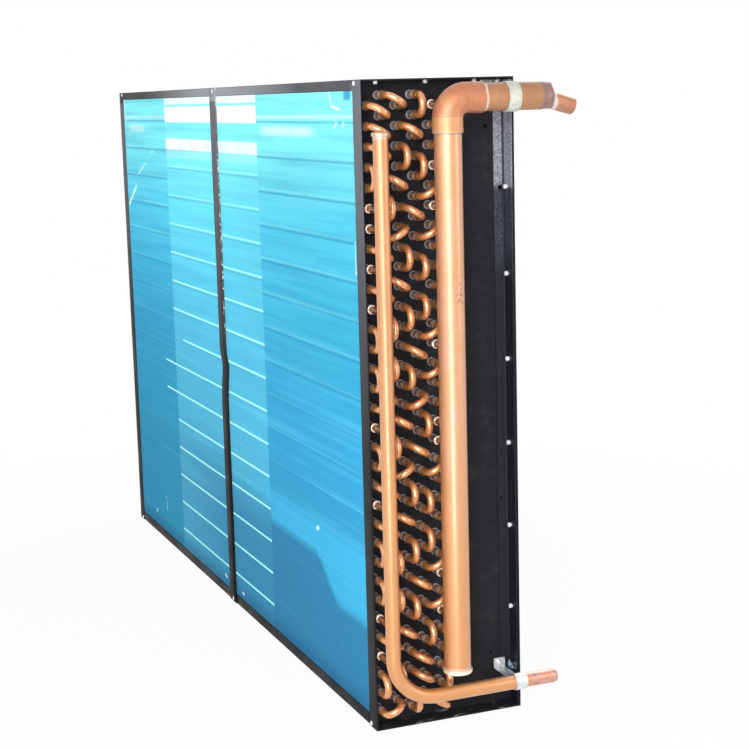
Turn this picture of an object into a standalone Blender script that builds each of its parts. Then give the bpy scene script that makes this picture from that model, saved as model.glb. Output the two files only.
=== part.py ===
"""Finned tube heat exchanger, in metres: a five column copper coil in a folded sheet frame.

The origin is the centre of the frame's underside. +X is the header end, -Y is the fin face that
the air enters, and +Z is up. A tube's place is its column, counted from the fin face, and its
level, counted down from the top in steps of half a tube pitch.
"""

import math

import bmesh
import bpy
from mathutils import Matrix, Vector

# Circuits: the first tube's column and level, and the way to each next tube, as the keys of a
# number pad. 8 and 2 go up and down the column, 9 and 3 to the next column, 7 and 1 to the last.
CIRCUITS = (
    (1, 11, "3878838797939213388"),
    (1, 13, "2323887997879832298"),
    (1, 17, "2322989229887838798"),
    (1, 21, "2222298893122938798"),
    (1, 33, "2223238879788323883"),
    (1, 41, "2312929838387838798"),
    (1, 53, "8832921323888977992"),
    (1, 57, "8322722938832388888"),
)
KEY_STEPS = {"8": (0, -2), "2": (0, 2), "9": (1, -1), "3": (1, 1), "7": (-1, -1), "1": (-1, 1)}

# Tubes and fins
COLUMNS = 5
TUBE_DIAMETER = 0.00952
TUBE_PITCH = 0.0254
COLUMN_PITCH = 0.022
FIN_LENGTH = 1.2
FIN_GROOVES = 30
FIN_GROOVE_WIDTH = 0.0016
FIN_GROOVE_DEPTH = 0.0014
RETURN_BEND_LEG = 0.0295
HAIRPIN_LEG = 0.005
SOCKET_LENGTH = 0.019

# Frame
PLATE_THICKNESS = 0.002
LIP_WIDTH = 0.026
CHANNEL_THICKNESS = 0.0015
FOLD_RADIUS = 0.001
RELIEF_WIDTH = 0.001
RELIEF_CLEARANCE = 0.0005
HEAD_MARGIN = 0.0131
FOOT_MARGIN = 0.0171
PLENUM_DEPTH = 0.101
BAR_WIDTH = 0.034
BAR_THICKNESS = 0.0015
BAR_INSET = 0.001
ANGLE_THICKNESS = 0.0015
ANGLE_PLATE_LEG = 0.0152
ANGLE_LIP_LEG = 0.0243

# Gas header with its elbow, outlet pipe and reducer
GAS_DIAMETER = 0.0349
GAS_STANDOFF = 0.067
GAS_CAP_RISE = 0.0794
GAS_PIPE_DROP = 0.0254
ELBOW_WALL = 0.0018
ELBOW_RADIUS = 0.025
ELBOW_CUP = 0.022
GAS_PIPE_LENGTH = 0.0815
REDUCER_CUP = 0.0065
REDUCER_LENGTH = 0.0095
OUTLET_DIAMETER = 0.0222
OUTLET_LENGTH = 0.029
OUTLET_FALL = 0.0078

# Liquid header with its bent outlet
LIQUID_DIAMETER = 0.01905
LIQUID_STANDOFF = 0.0615
LIQUID_CAP_DROP = 0.0636
LIQUID_BEND_RADIUS = 0.058
LIQUID_PIPE_RISE = 0.05
LIQUID_OUTLET_REACH = 0.034

# Caps and pipe straps
CAP_WALL = 0.0012
CAP_DEPTH = 0.0045
STRAP_WIDTH = 0.0166
STRAP_THICKNESS = 0.0012
STRAP_CLEARANCE = 0.0005
GAS_STRAP_FOOT = 0.022
LIQUID_STRAP_FOOT = 0.014
LIQUID_STRAP_INSET = 0.02
STRAP_OPENING = math.radians(15)

# Clearance left where pieces meet, and how finely the round pieces are cut
GAP = 0.0003
PIPE_SIDES = 16
TUBE_SIDES = 6
RETURN_BEND_STEPS = 4
HAIRPIN_STEPS = 3
ELBOW_STEPS = 8
STRAP_STEPS = 15
FOLD_STEPS = 3
FOLD_ANGLE = math.radians(60)

# Sizes that follow
TUBES = sum(len(moves) + 1 for column, level, moves in CIRCUITS)
TUBES_HIGH = TUBES // COLUMNS
FIN_HEIGHT = TUBES_HIGH * TUBE_PITCH
FIN_DEPTH = COLUMNS * COLUMN_PITCH
FRAME_HEIGHT = FOOT_MARGIN + FIN_HEIGHT + HEAD_MARGIN
FRAME_DEPTH = FIN_DEPTH + PLENUM_DEPTH
FRONT = -FRAME_DEPTH / 2
REAR = FRAME_DEPTH / 2
PLATE_INNER = FIN_LENGTH / 2
PLATE_OUTER = PLATE_INNER + PLATE_THICKNESS
TUBE_HOLE = TUBE_DIAMETER + 2 * GAP
GAS_AXIS = PLATE_OUTER + GAS_STANDOFF
GAS_PIPE_LEVEL = FRAME_HEIGHT - GAS_PIPE_DROP
ELBOW_START = GAS_PIPE_LEVEL - ELBOW_RADIUS
LIQUID_AXIS = PLATE_OUTER + LIQUID_STANDOFF
LIQUID_BEND_TOP = LIQUID_PIPE_RISE + LIQUID_BEND_RADIUS
PLATE_SEAT = PLATE_OUTER + GAP
ANGLE_SEAT = PLATE_SEAT + ANGLE_THICKNESS + GAP
ANGLE_BACK = REAR - PLATE_THICKNESS - GAP
ANGLE_EDGE = ANGLE_BACK - ANGLE_PLATE_LEG
GAS_STRAP_Y = ANGLE_EDGE - STRAP_CLEARANCE - STRAP_WIDTH / 2
LIQUID_STRAP_Y = REAR - LIQUID_STRAP_INSET

X_AXIS = Vector((1, 0, 0))
Y_AXIS = Vector((0, 1, 0))
Z_AXIS = Vector((0, 0, 1))


def tube_place(column, level):
    """The Y and Z of a tube's axis."""
    y = FRONT + COLUMN_PITCH * (column - 0.5)
    z = FRAME_HEIGHT - HEAD_MARGIN - TUBE_PITCH * (level + 0.5) / 2
    return y, z


GAS_HEADER_Y = tube_place(COLUMNS, 0)[0]
LIQUID_HEADER_Y = tube_place(1, 0)[0]


def clear_scene():
    for old in list(bpy.data.objects):
        bpy.data.objects.remove(old, do_unlink=True)


def new_collection(name):
    collection = bpy.data.collections.new(name)
    bpy.context.scene.collection.children.link(collection)
    return collection


def finish(name, colour, roughness, metallic):
    material = bpy.data.materials.new(name)
    material.use_nodes = True
    shader = material.node_tree.nodes["Principled BSDF"]
    shader.inputs["Base Color"].default_value = (*colour, 1)
    shader.inputs["Roughness"].default_value = roughness
    shader.inputs["Metallic"].default_value = metallic
    return material


def add_piece(name, data, material):
    piece = bpy.data.objects.new(name, data)
    piece.data.materials.clear()
    piece.data.materials.append(material)
    parts.objects.link(piece)
    piece.parent = origin
    return piece


def turned(x_axis, z_axis):
    """The rotation that carries local X and Z to these directions."""
    return Matrix((x_axis, z_axis.cross(x_axis), z_axis)).transposed().to_euler()


def cutter(name, shape):
    """A helper that cuts other pieces and isn't a piece itself."""
    mesh = bpy.data.meshes.new(name)
    shape.to_mesh(mesh)
    shape.free()
    helper = bpy.data.objects.new(name, mesh)
    helper.hide_render = True
    helper.display_type = "WIRE"
    cutters.objects.link(helper)
    return helper


def cut_by(piece, helper):
    cut = piece.modifiers.new(helper.name, "BOOLEAN")
    cut.operation = "DIFFERENCE"
    cut.object = helper


def add_block(shape, size, middle):
    """Adds a closed block to a shape that is being put together."""
    corners = bmesh.ops.create_cube(shape, size=1)["verts"]
    bmesh.ops.scale(shape, verts=corners, vec=size)
    bmesh.ops.translate(shape, verts=corners, vec=middle)


def tube_bores():
    """A square bar along each tube: it cuts the tube's hole in both end plates and the fins."""
    shape = bmesh.new()
    size = (2 * (PLATE_OUTER + PLATE_THICKNESS), TUBE_HOLE, TUBE_HOLE)
    for column in range(1, COLUMNS + 1):
        for level in range(column % 2, 2 * TUBES_HIGH, 2):
            add_block(shape, size, (0, *tube_place(column, level)))
    return cutter("tube_bores", shape)


def fold_and_thicken(sheet, radius, thickness, side):
    """Rounds the folds of an open skin, then gives it its wall on one side."""
    fold = sheet.modifiers.new("folds", "BEVEL")
    fold.width = radius
    fold.segments = FOLD_STEPS
    fold.limit_method = "ANGLE"
    fold.angle_limit = FOLD_ANGLE
    wall = sheet.modifiers.new("wall", "SOLIDIFY")
    wall.thickness = thickness
    wall.offset = side
    wall.use_even_offset = True


def folded_tray(name, width, height, flange, thickness, material):
    """Sheet metal with its four edges folded up, as an open skin that is given its wall inwards.

    The lips on the two sides run the full height. Those at the head and foot stop short of them,
    and a narrow relief slot is cut into the flat at each end of their folds.
    """
    fold = FOLD_RADIUS + thickness
    relief = fold + RELIEF_CLEARANCE
    side, head = width / 2, height / 2
    lip_end = side - relief - RELIEF_WIDTH
    corner = (
        (side, head),
        (side - relief, head),
        (side - relief, head - relief),
        (lip_end, head - relief),
        (lip_end, head),
    )
    skin = bmesh.new()
    outline = []
    for across, up in ((1, 1), (-1, 1), (-1, -1), (1, -1)):
        points = corner if across == up else corner[::-1]
        outline += [skin.verts.new((across * x, up * y, 0)) for x, y in points]
    skin.faces.new(outline)
    long_edges = [edge for edge in skin.edges if edge.calc_length() > 2 * relief]
    raised = bmesh.ops.extrude_edge_only(skin, edges=long_edges)["geom"]
    lips = [item for item in raised if isinstance(item, bmesh.types.BMVert)]
    bmesh.ops.translate(skin, verts=lips, vec=(0, 0, flange))
    bmesh.ops.recalc_face_normals(skin, faces=skin.faces)
    if skin.faces[0].normal.z > 0:
        bmesh.ops.reverse_faces(skin, faces=skin.faces)
    mesh = bpy.data.meshes.new(name)
    skin.to_mesh(mesh)
    skin.free()
    tray = add_piece(name, mesh, material)
    fold_and_thicken(tray, fold, thickness, -1)
    return tray


def folded_strip(name, profile, direction, length, thickness, material):
    """A strip of sheet folded along a profile, which is swept by length along a direction.

    The wall grows to the side that the profile's own way crossed with that direction points to,
    which is the inside of its sharp folds.
    """
    skin = bmesh.new()
    first = [skin.verts.new(point) for point in profile]
    second = [skin.verts.new(Vector(point) + direction * length) for point in profile]
    for index in range(len(profile) - 1):
        skin.faces.new((first[index], first[index + 1], second[index + 1], second[index]))
    mesh = bpy.data.meshes.new(name)
    skin.to_mesh(mesh)
    skin.free()
    strip = add_piece(name, mesh, material)
    fold_and_thicken(strip, FOLD_RADIUS + thickness, thickness, 1)
    return strip


def box(name, low, high, material):
    """A plain bar or block between two corners."""
    shape = bmesh.new()
    add_block(shape, [top - bottom for bottom, top in zip(low, high)], (0, 0, 0))
    mesh = bpy.data.meshes.new(name)
    shape.to_mesh(mesh)
    shape.free()
    bar = add_piece(name, mesh, material)
    bar.location = [(top + bottom) / 2 for bottom, top in zip(low, high)]
    return bar


def pipe(name, points, diameter, material, sides=PIPE_SIDES, widths=None):
    """A round bar along points, with its ends closed. Widths are shares of the diameter."""
    curve = bpy.data.curves.new(name, "CURVE")
    curve.dimensions = "3D"
    curve.bevel_depth = diameter / 2
    curve.bevel_resolution = sides // 2 - 2
    curve.use_fill_caps = True
    spline = curve.splines.new("POLY")
    spline.points.add(len(points) - 1)
    spline.use_smooth = True
    for point, place in zip(spline.points, points):
        point.co = (*place, 1)
    for point, width in zip(spline.points, widths or []):
        point.radius = width
    return add_piece(name, curve, material)


def arc(centre, start, end, steps):
    """Points on a quarter turn about centre, from start to end: two spokes at right angles."""
    turns = [math.pi / 2 * step / steps for step in range(steps + 1)]
    return [centre + start * math.cos(turn) + end * math.sin(turn) for turn in turns]


def end_plate(name, side):
    """A tube sheet: a folded tray whose lips turn away from the fins."""
    tray = folded_tray(
        name,
        FRAME_DEPTH,
        FRAME_HEIGHT,
        PLATE_THICKNESS + LIP_WIDTH,
        PLATE_THICKNESS,
        black_powder_coat,
    )
    tray.rotation_euler = turned(Y_AXIS * side, X_AXIS * side)
    tray.location = (side * PLATE_INNER, 0, FRAME_HEIGHT / 2)
    cut_by(tray, bores)


def channel(name, up, level, margin):
    """The sheet that closes the margin over or under the fins, its edges folded towards them."""
    tray = folded_tray(
        name,
        FIN_LENGTH - 2 * GAP,
        FRAME_DEPTH,
        margin - GAP,
        CHANNEL_THICKNESS,
        black_powder_coat,
    )
    tray.rotation_euler = turned(X_AXIS, Z_AXIS * up)
    tray.location = (0, 0, level)


def frame():
    end_plate("header_end_plate", 1)
    end_plate("far_end_plate", -1)
    channel("bottom_plate", 1, 0, FOOT_MARGIN)
    channel("top_plate", -1, FRAME_HEIGHT, HEAD_MARGIN)
    bar_face = FRONT - GAP
    box(
        "centre_support",
        (-BAR_WIDTH / 2, bar_face - BAR_THICKNESS, BAR_INSET),
        (BAR_WIDTH / 2, bar_face, FRAME_HEIGHT - BAR_INSET),
        black_powder_coat,
    )
    foot = PLATE_THICKNESS + FOLD_RADIUS + GAP
    folded_strip(
        "rear_edge_angle",
        [
            (PLATE_SEAT, ANGLE_EDGE, foot),
            (PLATE_SEAT, ANGLE_BACK, foot),
            (PLATE_SEAT + ANGLE_LIP_LEG, ANGLE_BACK, foot),
        ],
        Z_AXIS,
        FRAME_HEIGHT - 2 * foot,
        ANGLE_THICKNESS,
        grey_primer,
    )


def fin_pack():
    """The fins as one block with a hole for each tube, and grooves that group them at each face."""
    fins = box(
        "fin_pack",
        (GAP - PLATE_INNER, FRONT, FOOT_MARGIN),
        (PLATE_INNER - GAP, FRONT + FIN_DEPTH, FOOT_MARGIN + FIN_HEIGHT),
        coated_fins,
    )
    cut_by(fins, bores)
    shape = bmesh.new()
    pitch = FIN_LENGTH / FIN_GROOVES
    size = (FIN_GROOVE_WIDTH, 2 * FIN_GROOVE_DEPTH, FRAME_HEIGHT)
    for index in range(FIN_GROOVES):
        x = pitch * (index + 0.5) - PLATE_INNER
        for face in (FRONT, FRONT + FIN_DEPTH):
            add_block(shape, size, (x, face, FRAME_HEIGHT / 2))
    cut_by(fins, cutter("fin_grooves", shape))


def stub_end(axis, radius, rise, bend_radius):
    """The X where a stub stops short of its header, or of the bend that the header runs into.

    rise is how far the stub lies along the bend, and a header that leans away from the stub's
    axis is met by the stub's near edge.
    """
    offset = math.hypot(bend_radius, max(0.0, rise)) - bend_radius
    near = max(0.0, offset - TUBE_DIAMETER / 2)
    return axis - math.sqrt(radius**2 - near**2) - GAP


def circuit(number, column, level, moves):
    """One circuit: straight runs through both end plates, joined by bends at either end in turn.

    Its first and last tubes end in short sockets outside the header end plate, and a stub in
    each leads on to its header.
    """
    tubes = [(column, level)]
    for key in moves:
        across, down = KEY_STEPS[key]
        column += across
        level += down
        tubes.append((column, level))
    places = [Vector((0, *tube_place(*tube))) for tube in tubes]
    inlet, outlet = places[0], places[-1]
    inlet_rise = LIQUID_BEND_TOP - inlet.z
    outlet_rise = outlet.z - ELBOW_START
    elbow_wall = ELBOW_WALL if outlet_rise > -ELBOW_CUP else 0.0
    inlet_end = stub_end(LIQUID_AXIS, LIQUID_DIAMETER / 2, inlet_rise, LIQUID_BEND_RADIUS)
    outlet_end = stub_end(GAS_AXIS, GAS_DIAMETER / 2 + elbow_wall, outlet_rise, ELBOW_RADIUS)

    socket = PLATE_OUTER + SOCKET_LENGTH
    points = [inlet + X_AXIS * socket]
    for index, (here, there) in enumerate(zip(places, places[1:])):
        far = index % 2 == 0
        side = -1 if far else 1
        leg = HAIRPIN_LEG if far else RETURN_BEND_LEG
        steps = HAIRPIN_STEPS if far else RETURN_BEND_STEPS
        reach = (here - there) / 2
        middle = (here + there) / 2 + X_AXIS * side * (PLATE_OUTER + leg)
        out = X_AXIS * side * reach.length
        half = [math.pi * step / steps for step in range(steps + 1)]
        points += [middle + reach * math.cos(turn) + out * math.sin(turn) for turn in half]
    points.append(outlet + X_AXIS * socket)
    pipe(f"circuit_{number}", points, TUBE_DIAMETER, copper, sides=TUBE_SIDES)
    ends = (("inlet", inlet, inlet_end), ("outlet", outlet, outlet_end))
    for end, tube, reach in ends:
        stub = [tube + X_AXIS * (socket + GAP), tube + X_AXIS * reach]
        pipe(f"{end}_stub_{number}", stub, TUBE_DIAMETER, copper, sides=TUBE_SIDES)


def end_cap(name, diameter, place, up):
    """A cap turned as a cup: it slips over the end of a header and closes it."""
    inner = (diameter / 2 + GAP) / math.cos(math.pi / PIPE_SIDES)
    outer = inner + CAP_WALL
    mesh = bpy.data.meshes.new(name)
    profile = [
        (0, CAP_WALL),
        (outer, CAP_WALL),
        (outer, -CAP_DEPTH),
        (inner, -CAP_DEPTH),
        (inner, 0),
        (0, 0),
    ]
    shape = bmesh.new()
    verts = [shape.verts.new((x, 0, z)) for x, z in profile]
    for start, end in zip(verts, verts[1:]):
        shape.edges.new((start, end))
    shape.to_mesh(mesh)
    shape.free()
    cap = add_piece(name, mesh, brazed_copper)
    turn = cap.modifiers.new("turned", "SCREW")
    turn.steps = PIPE_SIDES
    turn.render_steps = PIPE_SIDES
    turn.use_merge_vertices = True
    turn.merge_threshold = 1e-5
    cap.rotation_euler = turned(X_AXIS, Z_AXIS * up)
    cap.location = place


def gas_header():
    """The large header, its cap, and the elbow, pipe and reducer that lead its gas out."""
    cap_level = GAS_CAP_RISE + CAP_WALL
    end_cap("gas_header_cap", GAS_DIAMETER, (GAS_AXIS, GAS_HEADER_Y, cap_level), -1)
    foot = Vector((GAS_AXIS, GAS_HEADER_Y, cap_level + GAP))
    elbow_foot = Vector((GAS_AXIS, GAS_HEADER_Y, ELBOW_START - ELBOW_CUP))
    pipe("gas_header", [foot, elbow_foot - Z_AXIS * GAP], GAS_DIAMETER, copper)

    middle = Vector((GAS_AXIS, GAS_HEADER_Y + ELBOW_RADIUS, ELBOW_START))
    bend = arc(middle, -Y_AXIS * ELBOW_RADIUS, Z_AXIS * ELBOW_RADIUS, ELBOW_STEPS)
    cup_end = bend[-1] + Y_AXIS * ELBOW_CUP
    pipe("gas_elbow", [elbow_foot, *bend, cup_end], GAS_DIAMETER + 2 * ELBOW_WALL, copper)

    start = cup_end + Y_AXIS * GAP
    end = start + Y_AXIS * GAS_PIPE_LENGTH
    pipe("gas_outlet_pipe", [start, end], GAS_DIAMETER, copper)

    small = OUTLET_DIAMETER / GAS_DIAMETER
    drop = (GAS_DIAMETER - OUTLET_DIAMETER) / 2
    cup = end + Y_AXIS * GAP
    wide = cup + Y_AXIS * REDUCER_CUP
    narrow = wide + Vector((0, REDUCER_LENGTH, -drop))
    tip = narrow + Vector((0, OUTLET_LENGTH, -OUTLET_FALL))
    reducer = [cup, wide, narrow, tip]
    pipe("gas_reducer", reducer, GAS_DIAMETER, brazed_copper, widths=[1, 1, small, small])


def liquid_header():
    """The slim header, bent at its foot into the liquid pipe, and the cap on its head."""
    cap_level = FRAME_HEIGHT - LIQUID_CAP_DROP - CAP_WALL
    end_cap("liquid_header_cap", LIQUID_DIAMETER, (LIQUID_AXIS, LIQUID_HEADER_Y, cap_level), 1)
    head = Vector((LIQUID_AXIS, LIQUID_HEADER_Y, cap_level - GAP))
    middle = Vector((LIQUID_AXIS, LIQUID_HEADER_Y + LIQUID_BEND_RADIUS, LIQUID_BEND_TOP))
    bend = arc(middle, -Y_AXIS * LIQUID_BEND_RADIUS, -Z_AXIS * LIQUID_BEND_RADIUS, ELBOW_STEPS)
    end = Vector((LIQUID_AXIS, REAR + LIQUID_OUTLET_REACH, LIQUID_PIPE_RISE))
    pipe("liquid_header", [head, *bend, end], LIQUID_DIAMETER, copper)


def pipe_strap(name, axis, level, diameter, seat, middle, foot):
    """A strap round a pipe: a foot on its seat, a leg out to the pipe, and a band round it."""
    sweep = 2 * math.pi - STRAP_OPENING
    step_angle = sweep / STRAP_STEPS
    radius = (diameter / 2 + GAP) / math.cos(step_angle / 2)
    side = middle - STRAP_WIDTH / 2
    profile = [(seat, side, level + foot), (seat, side, level)]
    for step in range(STRAP_STEPS + 1):
        angle = math.pi - step_angle * step
        x = axis + radius * math.cos(angle)
        z = level + radius * math.sin(angle)
        profile.append((x, side, z))
    folded_strip(name, profile, Y_AXIS, STRAP_WIDTH, STRAP_THICKNESS, zinc_plate)


clear_scene()
parts = new_collection("finned_tube_heat_exchanger")
cutters = new_collection("cutters")
origin = bpy.data.objects.new("frame_underside", None)
parts.objects.link(origin)

black_powder_coat = finish("black_powder_coat", (0.014, 0.014, 0.02), 0.45, 0.0)
grey_primer = finish("grey_primer", (0.2, 0.21, 0.24), 0.6, 0.3)
coated_fins = finish("coated_fins", (0.03, 0.42, 0.75), 0.35, 0.4)
copper = finish("copper", (0.85, 0.4, 0.18), 0.3, 1.0)
brazed_copper = finish("brazed_copper", (0.5, 0.32, 0.28), 0.45, 0.9)
zinc_plate = finish("zinc_plate", (0.7, 0.72, 0.7), 0.4, 0.8)

bores = tube_bores()
frame()
fin_pack()
for number, (column, level, moves) in enumerate(CIRCUITS, start=1):
    circuit(number, column, level, moves)
gas_header()
liquid_header()
pipe_strap(
    "gas_pipe_strap",
    GAS_AXIS,
    GAS_PIPE_LEVEL,
    GAS_DIAMETER,
    PLATE_SEAT,
    GAS_STRAP_Y,
    GAS_STRAP_FOOT,
)
pipe_strap(
    "liquid_pipe_strap",
    LIQUID_AXIS,
    LIQUID_PIPE_RISE,
    LIQUID_DIAMETER,
    ANGLE_SEAT,
    LIQUID_STRAP_Y,
    LIQUID_STRAP_FOOT,
)
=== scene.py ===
"""Finned tube heat exchanger: the finish of its sheet metal, fins, copper tubes and fittings.

Everything is in metres. +X is the header end, -Y is the fin face that the air enters, +Z is up.
"""

import math

import bmesh
import bpy
import numpy as np
from mathutils import Matrix, Vector


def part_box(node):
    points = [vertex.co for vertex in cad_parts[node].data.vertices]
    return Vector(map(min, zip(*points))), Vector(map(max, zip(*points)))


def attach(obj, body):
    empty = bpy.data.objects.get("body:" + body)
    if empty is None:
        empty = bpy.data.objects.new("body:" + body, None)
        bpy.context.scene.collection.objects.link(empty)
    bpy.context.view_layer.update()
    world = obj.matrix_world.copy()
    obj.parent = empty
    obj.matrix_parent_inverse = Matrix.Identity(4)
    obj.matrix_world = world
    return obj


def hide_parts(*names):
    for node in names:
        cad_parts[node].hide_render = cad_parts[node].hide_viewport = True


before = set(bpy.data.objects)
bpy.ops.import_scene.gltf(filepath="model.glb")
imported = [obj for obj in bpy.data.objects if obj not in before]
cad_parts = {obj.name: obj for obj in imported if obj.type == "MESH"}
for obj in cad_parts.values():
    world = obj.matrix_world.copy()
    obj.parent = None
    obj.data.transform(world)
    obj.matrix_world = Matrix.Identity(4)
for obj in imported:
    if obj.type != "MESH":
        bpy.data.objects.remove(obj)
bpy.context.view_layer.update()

# End plates. Each is a tube sheet: 2 mm galvanised steel with 160 holes whose rims are drawn out
# into short collars round the tubes. Its four edges are folded outwards as lips, notched at the
# corners, and the whole sheet is powder coated black.
PLATE_LOW, PLATE_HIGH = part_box("header_end_plate")
PLATE_THICKNESS = 0.002
PLATE_INNER = PLATE_LOW.x
PLATE_OUTER = PLATE_INNER + PLATE_THICKNESS
LIP_END = PLATE_HIGH.x
FRONT, REAR, FRAME_TOP = PLATE_LOW.y, PLATE_HIGH.y, PLATE_HIGH.z
FIN_LOW, FIN_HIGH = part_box("fin_pack")
COLUMNS = 5
TUBES_HIGH = 32
TUBE_RADIUS = 0.00476
TUBE_PITCH = 0.0254
COLUMN_PITCH = (FIN_HIGH.y - FIN_LOW.y) / COLUMNS
PLATE_FOLD = 0.001
COLLAR_FOOT = 0.0073
COLLAR_RISE = 0.0023
COLLAR_WALL = 0.0005
LIP_BAND = 0.0035
RAIL_FROM = FRAME_TOP - 0.022
RAIL_FULL = FRAME_TOP - 0.0195
HOLE_RADIUS = TUBE_RADIUS + 0.0001
CELL_STEPS_UP = 6
CELL_STEPS_ACROSS = 4
FOLD_STEPS = 4
MERGE = 2e-5

X_AXIS = np.array((1.0, 0.0, 0.0))
Y_AXIS = np.array((0.0, 1.0, 0.0))
Z_AXIS = np.array((0.0, 0.0, 1.0))


def grid_faces(grids):
    """Points and quads of several grids. Point (i, j) of a grid joins (i + 1, j) and (i, j + 1)."""
    points, faces, start = [], [], 0
    for grid in grids:
        rows, columns = grid.shape[:2]
        number = np.arange(rows * columns).reshape(rows, columns) + start
        corners = (number[:-1, :-1], number[1:, :-1], number[1:, 1:], number[:-1, 1:])
        points.append(grid.reshape(-1, 3))
        faces.append(np.stack(corners, axis=-1).reshape(-1, 4))
        start += rows * columns
    return np.concatenate(points), np.concatenate(faces)


def make_piece(name, grids, material, sharp=35, replaced=()):
    """One closed piece from grids whose edges meet: meeting points are made one, faces turn out."""
    points, faces = grid_faces(grids)
    mesh = bpy.data.meshes.new(name)
    mesh.from_pydata(points.tolist(), [], faces.tolist())
    shape = bmesh.new()
    shape.from_mesh(mesh)
    bmesh.ops.remove_doubles(shape, verts=shape.verts, dist=MERGE)
    bmesh.ops.recalc_face_normals(shape, faces=shape.faces)
    shape.to_mesh(mesh)
    shape.free()
    mesh.shade_smooth()
    mesh.set_sharp_from_angle(angle=math.radians(sharp))
    mesh.materials.append(material)
    piece = bpy.data.objects.new(name, mesh)
    bpy.context.scene.collection.objects.link(piece)
    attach(piece, "root")
    if replaced:
        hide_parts(*replaced)
    return piece


def new_material(name, roughness, metallic=0.0, specular=0.5):
    """A material with its shader, and the object's own coordinates to paint it by."""
    material = bpy.data.materials.new(name)
    material.use_nodes = True
    tree = material.node_tree
    shader = tree.nodes["Principled BSDF"]
    shader.inputs["Roughness"].default_value = roughness
    shader.inputs["Metallic"].default_value = metallic
    shader.inputs["Specular IOR Level"].default_value = specular
    place = tree.nodes.new("ShaderNodeTexCoord").outputs["Object"]
    return material, shader, place


def node(kind, inputs, output=0, **settings):
    """A node with its settings, in the tree of the outputs that it takes.

    Each input takes a value or another node's output, and one at least has to be an output.
    """
    sockets = [value for value in inputs.values() if isinstance(value, bpy.types.NodeSocket)]
    tree = sockets[0].id_data
    made = tree.nodes.new(kind)
    for key, value in settings.items():
        setattr(made, key, value)
    for key, value in inputs.items():
        if isinstance(value, bpy.types.NodeSocket):
            tree.links.new(value, made.inputs[key])
        else:
            made.inputs[key].default_value = value
    return made.outputs[output]


def noise(place, scale, detail=4.0, stretch=(1, 1, 1), offset=(0, 0, 0)):
    """Cloudy noise of 0 to 1, drawn out where stretch is under 1."""
    moved = node("ShaderNodeMapping", {0: place, "Location": offset, "Scale": stretch})
    inputs = {"Vector": moved, "Scale": scale, "Detail": detail, "Roughness": 0.6}
    return node("ShaderNodeTexNoise", inputs)


def between(value, low, high, start=0.0, end=1.0):
    """A smooth step from start to end as the value goes from low to high."""
    inputs = {"Value": value, "From Min": low, "From Max": high, "To Min": start, "To Max": end}
    return node("ShaderNodeMapRange", inputs, interpolation_type="SMOOTHSTEP")


def maths(operation, first, second=0.0):
    """One operation on one value or two."""
    return node("ShaderNodeMath", {0: first, 1: second}, operation=operation)


def times(*shares):
    """The product of several shares."""
    product = shares[0]
    for share in shares[1:]:
        product = maths("MULTIPLY", product, share)
    return product


def within(value, low, high, soft):
    """1 where the value lies from low to high, 0 outside, with a soft step at both."""
    above = between(value, low - soft, low + soft)
    below = between(value, high + soft, high - soft)
    return times(above, below)


def mixed(share, first, second):
    """The first colour with a share of the second."""
    inputs = {
        0: share,
        6: first if isinstance(first, bpy.types.NodeSocket) else (*first, 1),
        7: second if isinstance(second, bpy.types.NodeSocket) else (*second, 1),
    }
    return node("ShaderNodeMix", inputs, output=2, data_type="RGBA")


def painted(colour, *layers):
    """A colour with layers over it, one after the other. Each layer is a share and a shade."""
    for share, shade in layers:
        colour = mixed(share, colour, shade)
    return colour


def axes_of(place):
    """The X, Y and Z of a place."""
    return node("ShaderNodeSeparateXYZ", {0: place}).node.outputs


def connect(socket, shader, name):
    """Links a socket to one of a shader's inputs."""
    socket.id_data.links.new(socket, shader.inputs[name])


def bumped(shader, height, distance, strength):
    """Roughens a shader's surface by a height of 0 to 1."""
    inputs = {"Height": height, "Distance": distance, "Strength": strength}
    connect(node("ShaderNodeBump", inputs), shader, "Normal")


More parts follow.
